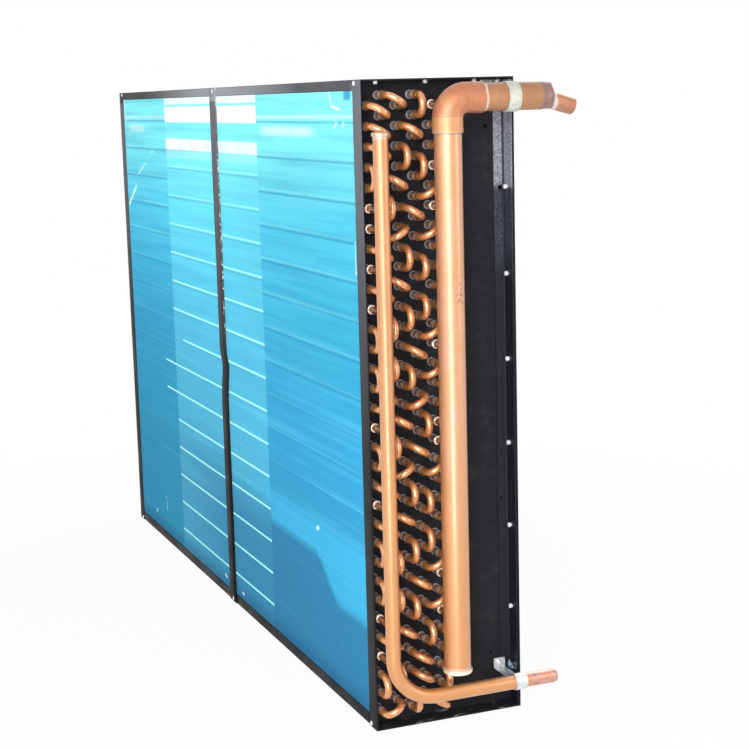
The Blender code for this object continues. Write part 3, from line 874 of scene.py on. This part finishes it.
def circuit_path(tubes):
    """The centre line through a circuit's tubes.

    A bend is half a circle on the line between two tubes: its middle plus cosine of the turn
    times half that line, and sine of the turn times the same length along X.
    """
    bell = np.array(BELL_STATIONS)[:, None] * X_AXIS + PLATE_OUTER * X_AXIS
    path = [tubes[0] + bell[::-1]]
    for index, (here, there) in enumerate(zip(tubes, tubes[1:])):
        side = 1 if index % 2 else -1
        leg = RETURN_BEND_LEG if side > 0 else HAIRPIN_LEG
        reach = (here - there) / 2
        base = (here + there) / 2 + side * (PLATE_OUTER + leg) * X_AXIS
        turn = np.linspace(0, np.pi, BEND_STEPS + 1)[:, None]
        bend = base + reach * np.cos(turn) + side * np.linalg.norm(reach) * X_AXIS * np.sin(turn)
        if side > 0:
            path += [here + bell[:-1], bend, there + bell[-2::-1]]
        else:
            path.append(bend)
    path.append(tubes[-1] + bell)
    return np.concatenate(path)


tube_copper = circuit_copper()
tube_ends = []
for number, (column, level, moves) in enumerate(CIRCUITS, start=1):
    tubes = circuit_tubes(column, level, moves)
    tube_ends.append((tubes[0], tubes[-1]))
    path = circuit_path(tubes)
    out = path[:, 0] - PLATE_OUTER
    radii = np.interp(out, BELL_STATIONS, BELL_RADII)
    radii[out > BELL_STATIONS[-1]] = TUBE_RADIUS
    rings = closed(path, directions_of(path), radii)
    grids = [swept(*rings, TUBE_SIDES)]
    make_piece(f"circuit_tubes_{number}", grids, tube_copper, 50, (f"circuit_{number}",))


# Stubs. Short straight tubes that lead each circuit's first tube to the liquid header and its
# last to the gas header, brazed at both ends with a small collar of filler at the header.
STUB_FILLET = 0.0016
STUB_SINK = 0.004

for number in range(1, len(CIRCUITS) + 1):
    for end in ("inlet", "outlet"):
        low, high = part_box(f"{end}_stub_{number}")
        y, z = (low.y + high.y) / 2, (low.z + high.z) / 2
        stations = np.array([low.x, high.x - STUB_FILLET, high.x, high.x + STUB_SINK])
        widths = TUBE_RADIUS + np.array([0.0, 0.0, STUB_FILLET, STUB_FILLET])
        centres = np.column_stack([stations, np.full(4, y), np.full(4, z)])
        rings = closed(centres, np.tile(X_AXIS, (4, 1)), widths)
        grids = [swept(*rings, TUBE_SIDES)]
        replaced = (f"{end}_stub_{number}",)
        make_piece(f"{end}_stub_tube_{number}", grids, tube_copper, 50, replaced)


# Gas header. A 34.9 mm copper manifold with a cup shaped cap brazed on its foot. A long radius
# elbow is brazed over its head, and a short pipe of the same bore leads to the reducer and the
# small outlet, which is left open.
PIPE_SIDES = 48
RIM = 0.0006
JOINT_WANDER = 0.006


def path_rings(path, bands):
    """Rings along a path, whose radius follows bands of (length along the path, radius)."""
    steps = np.linalg.norm(np.diff(path, axis=0), axis=1)
    lengths = np.concatenate([[0.0], np.cumsum(steps)])
    marks, widths = np.array(bands, float).T
    stations = np.unique(np.round(np.concatenate([lengths, marks]), 6))
    stations = stations[(stations >= marks[0] - MERGE) & (stations <= marks[-1] + MERGE)]
    centres = np.stack([np.interp(stations, lengths, path[:, k]) for k in range(3)], axis=1)
    ways = directions_of(path)
    ways = np.stack([np.interp(stations, lengths, ways[:, k]) for k in range(3)], axis=1)
    ways /= np.linalg.norm(ways, axis=1, keepdims=True)
    return centres, ways, np.interp(stations, marks, widths)


def open_end(centres, directions, radii, wall, depth):
    """The same rings with a bore at the last one: in by the wall, back by a depth, and closed."""
    bore = radii[-1] - wall
    back = centres[-1] - directions[-1] * depth
    centres = np.vstack([centres, centres[-1], back, back])
    directions = np.vstack([directions, np.tile(directions[-1], (3, 1))])
    return centres, directions, np.concatenate([radii, [bore, bore, 0.0]])


def closed_start(centres, directions, radii):
    """The same rings with the first end drawn in to a point."""
    centres = np.vstack([centres[:1], centres])
    directions = np.vstack([directions[:1], directions])
    return centres, directions, np.concatenate([[0.0], radii])


def header_copper(
    name, marks, tint=None, above=0.0, spots=(), tones=((0.57, 0.27, 0.105), (0.6, 0.29, 0.15))
):
    """Header copper, with its brazed joints and its spots; a mark may be a painted highlight.

    Each mark is an axis, a place on it, a width, how far its edges fade, a colour and a share. A
    piece that the torch heated is tinted, dull and flecked above a level. Each spot is a patch
    from a low to a high Y and Z, broken up by a noise of its own scale, with a colour and a share.
    """
    surface = (0.36, 0.9) if tint is None else (0.45, 0.3)
    material, shader, place, colour = copper(name, *surface, tones)
    axes = axes_of(place)
    stains = noise(place, 30.0, 6.0, stretch=(1, 1, 0.3), offset=(7.3, 2.2, 0.4))
    colour = painted(
        colour,
        (between(axes["Z"], 0.5, 0.15, 0.0, 0.8), (0.6, 0.25, 0.07)),
        (between(stains, 0.6, 0.75, 0, 0.5), (0.42, 0.2, 0.1)),
    )
    if tint is not None:
        reached = between(axes["Z"], above - 0.002, above + 0.004)
        heat = noise(place, 45.0, 5.0, offset=(1.7, 4.4, 2.9))
        flecks = noise(place, 150.0, 5.0, offset=(4.4, 0.3, 6.1))
        colour = painted(
            colour,
            (times(reached, between(heat, 0.3, 0.7, 0.55, 1.0)), tint),
            (times(reached, between(flecks, 0.58, 0.72, 0.0, 0.55)), (0.22, 0.1, 0.06)),
        )
    wander = times(noise(place, 60.0, 4.0), JOINT_WANDER)
    for axis, middle, width, soft, shade, share in marks:
        far = maths("SUBTRACT", maths("ADD", axes[axis], wander), middle + JOINT_WANDER / 2)
        near = between(maths("ABSOLUTE", far), width / 2 + soft, width / 2)
        colour = mixed(times(near, share), colour, shade)
    for y_low, y_high, z_low, z_high, scale, shade, share in spots:
        broken = between(noise(place, scale, 3.0), 0.55, 0.62)
        depth = within(axes["Y"], y_low, y_high, 0.001)
        up = within(axes["Z"], z_low, z_high, 0.002)
        colour = mixed(times(broken, depth, up, share), colour, shade)
    connect(colour, shader, "Base Color")
    return material


def make_pipe(name, rings, material, node_name, sides=PIPE_SIDES):
    """A piece of round pipe from its rings."""
    make_piece(name, [swept(*rings, sides)], material, 35, (node_name,))


gas_low, gas_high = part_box("gas_header")
gas_x, gas_y = (gas_low.x + gas_high.x) / 2, (gas_low.y + gas_high.y) / 2
gas_radius = (gas_high.y - gas_low.y) / 2
elbow_low, elbow_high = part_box("gas_elbow")
elbow_radius_out = (elbow_high.x - elbow_low.x) / 2
pipe_low, pipe_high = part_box("gas_outlet_pipe")
pipe_level = (pipe_low.z + pipe_high.z) / 2
cap_low, cap_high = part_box("gas_header_cap")
cap_radius = (cap_high.x - cap_low.x) / 2
PALE = (0.8, 0.74, 0.66)
PURPLE = (0.2, 0.14, 0.145)
ELBOW_TURN = 0.025
ELBOW_TURN_STEPS = 20
CUP_RAISE = 0.004
CUP_LENGTH = 0.021

joint_marks = (
    ("Z", elbow_low.z + CUP_RAISE - 0.0005, 0.0016, 0.0012, (0.3, 0.22, 0.17), 0.8),
    ("Z", gas_low.z + 0.006, 0.001, 0.003, PALE, 0.35),
)
header_spots = (
    (gas_y + 0.001, gas_y + 0.009, 0.556, 0.615, 170.0, (0.14, 0.06, 0.04), 0.95),
    (gas_y - 0.01, gas_y - 0.003, 0.645, 0.664, 20.0, (0.68, 0.6, 0.16), 0.6),
)
header_finish = header_copper("gas_header_copper", joint_marks, spots=header_spots)
axis = np.array((gas_x, gas_y, 0.0))
elbow_foot = elbow_low.z + CUP_RAISE
stand = np.array([axis + Z_AXIS * (gas_low.z + RIM), axis + Z_AXIS * (elbow_foot + RIM)])
length = stand[1, 2] - stand[0, 2]
rings = path_rings(stand, ((0, gas_radius), (length, gas_radius)))
make_pipe("gas_header_tube", closed(*rings), header_finish, "gas_header")

corner = np.array((gas_x, gas_y, pipe_level))
route = (axis + Z_AXIS * elbow_foot, corner, np.array((gas_x, elbow_high.y, pipe_level)))
bend = rounded_path(route, ELBOW_TURN, ELBOW_TURN_STEPS)
length = np.linalg.norm(np.diff(bend, axis=0), axis=1).sum()
wide = elbow_radius_out
bands = ((0, wide - RIM), (RIM, wide), (length - RIM, wide), (length, wide - RIM))
elbow_marks = (
    ("Y", elbow_high.y, 0.002, 0.001, PALE, 0.9),
    ("Y", elbow_high.y - 0.012, 0.012, 0.014, (0.5, 0.2, 0.1), 0.5),
    ("Z", elbow_foot + 0.001, 0.001, 0.002, (0.5, 0.36, 0.28), 0.6),
    ("Z", elbow_foot + CUP_LENGTH, 0.0006, 0.001, (0.3, 0.1, 0.05), 0.6),
)
rings = closed(*path_rings(bend, bands))
tinted_above = elbow_foot + CUP_LENGTH
elbow_finish = header_copper("elbow_copper", elbow_marks, (0.46, 0.15, 0.065), tinted_above)
make_pipe("gas_elbow_bend", rings, elbow_finish, "gas_elbow")

pipe_radius = (pipe_high.z - pipe_low.z) / 2
ends = [np.array((gas_x, y, pipe_level)) for y in (pipe_low.y, pipe_high.y)]
length = pipe_high.y - pipe_low.y
rings = closed(*path_rings(np.array(ends), ((0, pipe_radius), (length, pipe_radius))))
pipe_marks = (
    ("Y", pipe_high.y, 0.004, 0.004, PURPLE, 0.75),
    ("Y", pipe_low.y, 0.002, 0.002, PALE, 0.8),
)
pipe_finish = header_copper("outlet_pipe_copper", pipe_marks, (0.36, 0.16, 0.07))
make_pipe("gas_outlet_tube", rings, pipe_finish, "gas_outlet_pipe")

low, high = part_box("gas_reducer")
small = 0.0111
cup, cone, outlet, fall = 0.0065, 0.0095, 0.029, 0.0078
drop = pipe_radius - small
tip_y = low.y + cup + cone + outlet
route = np.array(
    [
        (gas_x, low.y, pipe_level),
        (gas_x, low.y + cup, pipe_level),
        (gas_x, low.y + cup + cone, pipe_level - drop),
        (gas_x, tip_y, pipe_level - drop - fall),
    ]
)
lengths = np.concatenate([[0], np.cumsum(np.linalg.norm(np.diff(route, axis=0), axis=1))])
bands = (
    (0, pipe_radius),
    (lengths[1], pipe_radius),
    (lengths[1] + 0.3 * cone, pipe_radius * 0.93),
    (lengths[2] - 0.3 * cone, small * 1.16),
    (lengths[2], small),
    (lengths[3] - RIM, small),
    (lengths[3], small - RIM / 2),
)
rings = open_end(*closed_start(*path_rings(route, bands)), 0.001, 0.03)
reducer_marks = (
    ("Y", low.y + 0.002, 0.02, 0.004, PURPLE, 0.75),
    ("Y", low.y + cup + cone, 0.003, 0.0025, (0.7, 0.62, 0.62), 0.85),
)
reducer_finish = header_copper("reducer_copper", reducer_marks, (0.42, 0.17, 0.09))
make_pipe("gas_outlet_reducer", rings, reducer_finish, "gas_reducer")

CAP_SHOULDER = 0.0022
CAP_EASE = 0.0004
CAP_WALL = 0.0012


def cap_grids(middle, up, wide, depth, inner):
    """A cap as a turned cup: a slightly domed end, a rounded shoulder, a straight skirt, a lip."""
    edge, turn = wide - CAP_SHOULDER, np.linspace(0, np.pi / 2, 6)
    dome = [(0, 0), (wide * 0.5, -0.0001), (edge, -CAP_EASE)]
    falls = CAP_SHOULDER * (np.cos(turn) - 1) - CAP_EASE
    corner = list(zip(edge + CAP_SHOULDER * np.sin(turn), falls))
    skirt = [(wide, -depth + CAP_EASE), (wide - CAP_EASE, -depth)]
    inside = [(inner, -depth), (inner, -CAP_WALL), (0, -CAP_WALL)]
    profile = np.array(dome + corner + skirt + inside)
    centres = np.asarray(middle) + np.outer(profile[:, 1] * up, Z_AXIS)
    return [swept(centres, np.tile(Z_AXIS, (len(profile), 1)), profile[:, 0], PIPE_SIDES)]


# A painted highlight: a pale band round the cap's rounded foot.
cap_highlight_marks = (("Z", cap_low.z, 0.014, 0.002, (0.92, 0.8, 0.7), 0.9),)
cap_finish = header_copper("cap_copper", cap_highlight_marks)
foot = (gas_x, gas_y, cap_low.z)
grids = cap_grids(foot, -1, cap_radius, cap_high.z - cap_low.z, gas_radius)
make_piece("gas_header_end", grids, cap_finish, 35, ("gas_header_cap",))


# Liquid header. A 19 mm copper manifold bent at its foot into the liquid pipe that leaves to the
# rear. A small cap is brazed on its head. Its open tip is drawn in a little, and the torch left
# it mottled.
LIQUID_TURN = 0.058

liquid_low, liquid_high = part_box("liquid_header")
liquid_x = (liquid_low.x + liquid_high.x) / 2
liquid_radius = (liquid_high.x - liquid_low.x) / 2
liquid_y = liquid_low.y + liquid_radius
liquid_z = liquid_low.z + liquid_radius
route = (
    np.array((liquid_x, liquid_y, liquid_high.z)),
    np.array((liquid_x, liquid_y, liquid_z)),
    np.array((liquid_x, liquid_high.y, liquid_z)),
)
bend = rounded_path(route, LIQUID_TURN, ELBOW_TURN_STEPS)
length = np.linalg.norm(np.diff(bend, axis=0), axis=1).sum()
bands = ((0, liquid_radius), (length - 0.004, liquid_radius), (length, liquid_radius - 0.0012))
rings = open_end(*closed_start(*path_rings(bend, bands)), 0.001, 0.03)
liquid_marks = (
    ("Y", liquid_high.y - 0.012, 0.054, 0.004, (0.56, 0.24, 0.19), 0.85),
    ("Z", liquid_high.z - 0.004, 0.003, 0.004, PALE, 0.3),
)
burnt_from, tip = liquid_high.y - 0.036, liquid_high.y
liquid_spots = (
    (burnt_from, tip, 0.0, 0.2, 110.0, (0.6, 0.46, 0.46), 0.5),
    (burnt_from, tip, 0.0, 0.2, 130.0, (0.2, 0.12, 0.15), 0.8),
    (burnt_from, tip, 0.0, 0.2, 85.0, (0.6, 0.2, 0.08), 0.8),
)
liquid_tones = (0.53, 0.215, 0.06), (0.56, 0.24, 0.085)
liquid_finish = header_copper(
    "liquid_header_copper", liquid_marks, spots=liquid_spots, tones=liquid_tones
)
make_pipe("liquid_header_tube", rings, liquid_finish, "liquid_header", sides=40)

low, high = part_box("liquid_header_cap")
wide = (high.x - low.x) / 2
head_marks = (("Z", high.z, 0.03, 0.002, (0.5, 0.35, 0.25), 0.8),)
head_finish = header_copper("liquid_cap_copper", head_marks)
grids = cap_grids((liquid_x, liquid_y, high.z), 1, wide, high.z - low.z, liquid_radius)
make_piece("liquid_header_end", grids, head_finish, 35, ("liquid_header_cap",))


# Pipe straps. Zinc plated strips bent to a foot on the end plate, a leg out to the pipe and a
# band right round it, over a pale lining. One screw holds each foot.
STRAP_THICKNESS = 0.0012
STRAP_OPENING = math.radians(15)
STRAP_BEND = 0.0022
STRAP_GAP = 0.0003
STRAP_STEPS = 36


def strap_finish(name, pale):
    """Zinc plate or a pale lining: cloudy, with fine lines across its width."""
    material, shader, place = new_material(name, 0.45, 0.35 if pale else 0.9)
    clouds = noise(place, 90.0, 5.0)
    lines = noise(place, 300.0, 2.0, stretch=(0.05, 1, 0.05))
    if pale:
        colour = mixed(between(clouds, 0.3, 0.7), (0.44, 0.45, 0.38), (0.6, 0.63, 0.56))
        colour = mixed(between(lines, 0.5, 0.7, 0, 0.4), colour, (0.42, 0.44, 0.38))
    else:
        colour = mixed(between(clouds, 0.3, 0.7), (0.62, 0.64, 0.66), (0.88, 0.9, 0.9))
    connect(colour, shader, "Base Color")
    bumped(shader, lines, 0.0003, 0.3)
    return material


def strap_grids(low, high, axis, level, pipe_radius_here):
    """The strap's middle line: up its foot, out along its leg and most of a turn round the pipe."""
    face = low.x + STRAP_THICKNESS / 2
    radius = pipe_radius_here + STRAP_GAP + STRAP_THICKNESS / 2
    sweep = 2 * math.pi - STRAP_OPENING
    turn = math.pi - np.linspace(0, sweep, STRAP_STEPS + 1)
    x, z = axis + radius * np.cos(turn), level + radius * np.sin(turn)
    band = np.column_stack([x, np.zeros(len(turn)), z])
    legs = [(face, 0, high.z), (face, 0, level), tuple(band[0])]
    path = np.concatenate([rounded_path(legs, STRAP_BEND, FOLD_STEPS)[:-1], band])
    path[:, 1] = low.y
    return strip_grids(path, Y_AXIS, high.y - low.y, STRAP_THICKNESS)


for pipe, axis_x, level, radius, pale in (
    ("gas", gas_x, pipe_level, pipe_radius, True),
    ("liquid", liquid_x, liquid_z, liquid_radius, False),
):
    low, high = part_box(f"{pipe}_pipe_strap")
    grids = strap_grids(low, high, axis_x, level, radius)
    finish = strap_finish(f"{pipe}_pipe_clip_finish", pale)
    make_piece(f"{pipe}_pipe_clip", grids, finish, 50, (f"{pipe}_pipe_strap",))


# Rivets. Bright aluminium blind rivets with a domed head and a small dimple where the mandrel
# broke off, in the front lips and the ends of the centre bar. Those of the top and rear lips were
# set from outside, so what shows is the swollen tail that holds each lip.
RIVET_RADIUS = 0.0032
RIVET_HEIGHT = 0.0012
RIVET_SIDES = 20
REAR_RIVETS = 8
REAR_RIVET_SPACING = 0.113
REAR_RIVET_FIRST = 0.8157
TOP_RIVETS = (-0.0773, -0.0093, 0.0592)
FRONT_RIVET_OUT = 0.006
BAR_RIVET_HEIGHT = 0.0004
TOP_RIVET_OUT = 0.0068
REAR_RIVET_OUT = 0.0105
TAIL_RADIUS = 0.0033
TAIL_HEIGHT = 0.0046
LIP_DROP = 0.0045
CORNER_RIVET = (angle_low.x + ANGLE_THICKNESS, 0.0955, FRAME_TOP - 0.0055)


def cloudy_metal(name, roughness, metallic, tones, scale=300.0, detail=3.0, spread=0.2):
    """Plain metal whose tone drifts from one to another in small clouds."""
    material, shader, place = new_material(name, roughness, metallic)
    clouds = noise(place, scale, detail)
    colour = mixed(between(clouds, 0.5 - spread, 0.5 + spread), *tones)
    connect(colour, shader, "Base Color")
    return material


def turned_head(profile, place, out, sides):
    """A turned shape that stands out from a place: (radius, height) from its crown down."""
    profile = np.array(profile)
    centres = np.asarray(place) + np.outer(profile[:, 1], out)
    directions = np.tile(np.asarray(out, float), (len(profile), 1))
    return swept(centres, directions, profile[:, 0], sides)


def rivet_grid(place, out, height=RIVET_HEIGHT):
    """A rivet's head: a dome with a dimple, and a short neck that stands in its hole."""
    profile = (
        (0.0, height * 0.45),
        (0.0007, height * 0.45),
        (0.0010, height * 0.97),
        (0.0017, height * 0.9),
        (0.0026, height * 0.55),
        (RIVET_RADIUS, 0.00012),
        (RIVET_RADIUS, -0.0002),
        (0.0, -0.0002),
    )
    return turned_head(profile, place, out, RIVET_SIDES)


def rivet_tail(place, out):
    """The blind end of a rivet: a barrel that swells from its hole and rounds over its tip."""
    turn = np.linspace(0, np.pi / 2, 5)
    tip = [(TAIL_RADIUS * np.sin(t), TAIL_HEIGHT * (0.6 + 0.4 * np.cos(t))) for t in turn]
    return turned_head([*tip, (TAIL_RADIUS * 0.9, 0.0), (0.0, 0.0)], place, out, RIVET_SIDES)


BRIGHT = (0.88, 0.88, 0.9), (0.98, 0.98, 0.98)
rivet_metal = cloudy_metal("rivet_aluminium", 0.4, 0.35, BRIGHT)
lip_face = angle_high.y - ANGLE_THICKNESS
grids = []
for index in range(REAR_RIVETS):
    level = REAR_RIVET_FIRST - REAR_RIVET_SPACING * index
    x = PLATE_OUTER + REAR_RIVET_OUT
    grids.append(rivet_tail((x, lip_face, level), -Y_AXIS))
    grids.append(rivet_tail((-x, REAR - PLATE_THICKNESS, level), -Y_AXIS))
for y in TOP_RIVETS:
    for side in (-1, 1):
        x = side * (PLATE_OUTER + TOP_RIVET_OUT)
        grids.append(rivet_tail((x, y, FRAME_TOP - PLATE_THICKNESS), -Z_AXIS))
grids.append(rivet_grid(CORNER_RIVET, X_AXIS))
for side in (-1, 1):
    for level in (LIP_DROP, FRAME_TOP - LIP_DROP):
        grids.append(rivet_grid((side * (PLATE_OUTER + FRONT_RIVET_OUT), FRONT, level), -Y_AXIS))
bar_low, bar_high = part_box("centre_support")
for level in (bar_low.z + LIP_DROP, bar_high.z - LIP_DROP):
    grids.append(rivet_grid((0.0, bar_high.y - BAR_SKIN, level), -Y_AXIS, BAR_RIVET_HEIGHT))
make_piece("rivets", grids, rivet_metal, 40)


# Strap screws and the bolt. A flanged screw with a cross recess holds each strap's foot, and a
# dark zinc plated hexagon bolt stands in the angle's lip beside the lower strap.
SCREW_RADIUS = 0.0038
SCREW_DROP = 0.0052
SCREW_ASIDE = 0.001
BOLT_FLATS = 0.0144
BOLT_HEIGHT = 0.0058
WASHER_RADIUS = 0.0092


def screw_grids(place, out):
    """A pan head on a thin flange: a low dome with a sunk middle for the driver."""
    profile = (
        (0.0, 0.001),
        (0.0009, 0.0012),
        (0.0013, 0.0021),
        (0.0022, 0.0019),
        (0.0029, 0.001),
        (0.003, 0.0005),
        (SCREW_RADIUS, 0.0004),
        (SCREW_RADIUS, -0.0001),
        (0.0, -0.0001),
    )
    return [turned_head(profile, place, out, 24)]


def bolt_grids(place, out):
    """A hexagon head with a turned chamfer, on a round washer."""
    place = np.asarray(place)
    washer = (
        (0.0, 0.0012),
        (WASHER_RADIUS - 0.0003, 0.0012),
        (WASHER_RADIUS, 0.0009),
        (WASHER_RADIUS, -0.0001),
        (0.0, -0.0001),
    )
    corner = BOLT_FLATS / 2 / math.cos(math.pi / 6)
    head = (
        (0.0, BOLT_HEIGHT - 0.0003),
        (corner * 0.62, BOLT_HEIGHT - 0.0003),
        (corner * 0.8, BOLT_HEIGHT),
        (corner * 0.9, BOLT_HEIGHT - 0.0001),
        (corner, BOLT_HEIGHT - 0.0009),
        (corner, 0.001),
        (0.0, 0.001),
    )
    return [turned_head(washer, place, out, 32), turned_head(head, place, out, 6)]


screw_metal = cloudy_metal("screw_zinc", 0.32, 0.9, BRIGHT)
for pipe in ("gas", "liquid"):
    low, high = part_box(f"{pipe}_pipe_strap")
    y = (low.y + high.y) / 2 - SCREW_ASIDE
    place = (low.x + STRAP_THICKNESS, y, high.z - SCREW_DROP)
    make_piece(f"{pipe}_clip_screw", screw_grids(place, X_AXIS), screw_metal, 40)
bolt_tones = (0.06, 0.09, 0.14), (0.25, 0.31, 0.38)
bolt_metal = cloudy_metal("bolt_zinc", 0.34, 1.0, bolt_tones, 260.0, 4.0, 0.15)
bolt_place = (PLATE_OUTER + 0.0132, lip_face, 0.055)
make_piece("lip_bolt", bolt_grids(bolt_place, -Y_AXIS), bolt_metal, 30)


# Spare holes. Small punched holes in the rear of the end plate and in the angle, whose rims are
# slightly raised and whose dark insides are painted shade: a black floor just under the rim.
def painted_hole_shade():
    """Painted shade: the black that stands for the dark inside of a deep small hole."""
    material, shader, place = new_material("painted_hole_black", 0.9, specular=0.05)
    clouds = noise(place, 200.0, 2.0)
    colour = mixed(clouds, (0.001, 0.001, 0.001), (0.003, 0.003, 0.003))
    connect(colour, shader, "Base Color")
    return material


def hole_grid(place, radius):
    """A punched hole: a faint rim, and a floor sunk in it."""
    profile = (
        (0.0, 0.00005),
        (radius - 0.0006, 0.00005),
        (radius - 0.0004, 0.0002),
        (radius, 0.0001),
        (radius, -0.0001),
        (0.0, -0.0001),
    )
    return turned_head(profile, place, X_AXIS, 20)


angle_face = angle_low.x + ANGLE_THICKNESS
holes = (
    (angle_face, 0.0965, 0.7015, 0.003),
    (angle_face, 0.0915, 0.2873, 0.0016),
    (PLATE_OUTER, 0.0775, 0.781, 0.0026),
    (PLATE_OUTER, 0.0745, 0.0724, 0.0018),
)
grids = [hole_grid((x, y, z), radius) for x, y, z, radius in holes]
make_piece("spare_holes", grids, painted_hole_shade(), 40)


# The room: a white floor that keeps the object's shadow, a white surround and six soft boxes.
# The camera was fitted to the photograph, and stands off the header end, a little to the front.
def seen_by(tree, *kinds):
    """1 for light rays of any of these kinds, 0 for others."""
    path = tree.nodes.new("ShaderNodeLightPath")
    seen = path.outputs[kinds[0]]
    for kind in kinds[1:]:
        seen = maths("MAXIMUM", seen, path.outputs[kind])
    return seen


def white_floor():
    """A pale cloth that takes shadows, mixed towards plain white away from the object."""
    material = bpy.data.materials.new("studio_floor")
    material.use_nodes = True
    tree = material.node_tree
    tree.nodes.clear()
    output = tree.nodes.new("ShaderNodeOutputMaterial")
    cloth = tree.nodes.new("ShaderNodeBsdfDiffuse")
    cloth.inputs["Color"].default_value = (0.93, 0.93, 0.93, 1)
    glow = tree.nodes.new("ShaderNodeEmission")
    glow.inputs["Color"].default_value = (1, 1, 1, 1)
    glow.inputs["Strength"].default_value = 1.0
    place = tree.nodes.new("ShaderNodeTexCoord").outputs["Object"]
    away = node("ShaderNodeVectorMath", {0: place}, output=1, operation="LENGTH")
    seen = seen_by(tree, "Is Camera Ray", "Is Glossy Ray")
    share = times(seen, between(away, 0.7, 1.4, 0.94, 1.0))
    inputs = {0: share, 1: cloth.outputs[0], 2: glow.outputs[0]}
    connect(node("ShaderNodeMixShader", inputs), output, "Surface")
    return material


floor_mesh = bpy.data.meshes.new("floor")
reach = 30.0
corners = [(reach * x, reach * y, 0) for x, y in ((-1, -1), (1, -1), (1, 1), (-1, 1))]
floor_mesh.from_pydata(corners, [], [(0, 1, 2, 3)])
floor_mesh.materials.append(white_floor())
floor = bpy.data.objects.new("floor", floor_mesh)
bpy.context.scene.collection.objects.link(floor)

world = bpy.data.worlds.new("surround")
bpy.context.scene.world = world
world.use_nodes = True
backdrop = world.node_tree.nodes["Background"]
seen = seen_by(world.node_tree, "Is Camera Ray", "Is Glossy Ray", "Is Transmission Ray")
connect(between(seen, 0, 1, 0.45, 1.0), backdrop, "Strength")
backdrop.inputs["Color"].default_value = (1, 1, 1, 1)


def soft_box(name, place, aim, wide, high, power):
    """A rectangular area lamp at a place, turned to face its aim."""
    lamp = bpy.data.lights.new(name, "AREA")
    lamp.shape = "RECTANGLE"
    lamp.size, lamp.size_y, lamp.energy = wide, high, power
    box = bpy.data.objects.new(name, lamp)
    box.location = place
    box.rotation_euler = (Vector(aim) - Vector(place)).to_track_quat("-Z", "Y").to_euler()
    bpy.context.scene.collection.objects.link(box)


soft_box("front_light", (2.4, -2.2, 1.6), (0.1, 0.0, 0.45), 2.4, 1.6, 62)
soft_box("camera_light", (3.3, -1.1, 1.45), (0.6, 0.0, 0.45), 1.8, 1.2, 17)
soft_box("edge_light", (1.9, 1.5, 0.9), (0.67, 0.0, 0.5), 0.5, 1.2, 6)
soft_box("tall_light", (2.75, -1.25, 0.9), (0.67, 0.0, 0.8), 1.0, 1.3, 18)
soft_box("low_light", (1.7, -0.57, 0.15), (0.67, 0.0, 0.2), 0.3, 0.26, 3.4)
soft_box("back_light", (-1.6, 2.6, 1.9), (0.0, 0.0, 0.4), 2.0, 1.6, 45)

CAMERA_PLACE = (2.5087, -0.8544, 0.8187)
CAMERA_RIGHT = (0.37828, 0.92535, -0.02637)
CAMERA_UP = (-0.14519, 0.08739, 0.98548)
CAMERA_BACK = (0.91432, -0.36901, 0.16754)
CAMERA_LENS = 77.95
lens = bpy.data.cameras.new("camera")
lens.lens = CAMERA_LENS
lens.sensor_width = 36.0
camera = bpy.data.objects.new("camera", lens)
turned = Matrix((CAMERA_RIGHT, CAMERA_UP, CAMERA_BACK)).transposed()
camera.matrix_world = Matrix.Translation(CAMERA_PLACE) @ turned.to_4x4()
bpy.context.scene.collection.objects.link(camera)
bpy.context.scene.camera = camera

bpy.context.scene.view_settings.view_transform = "Standard"
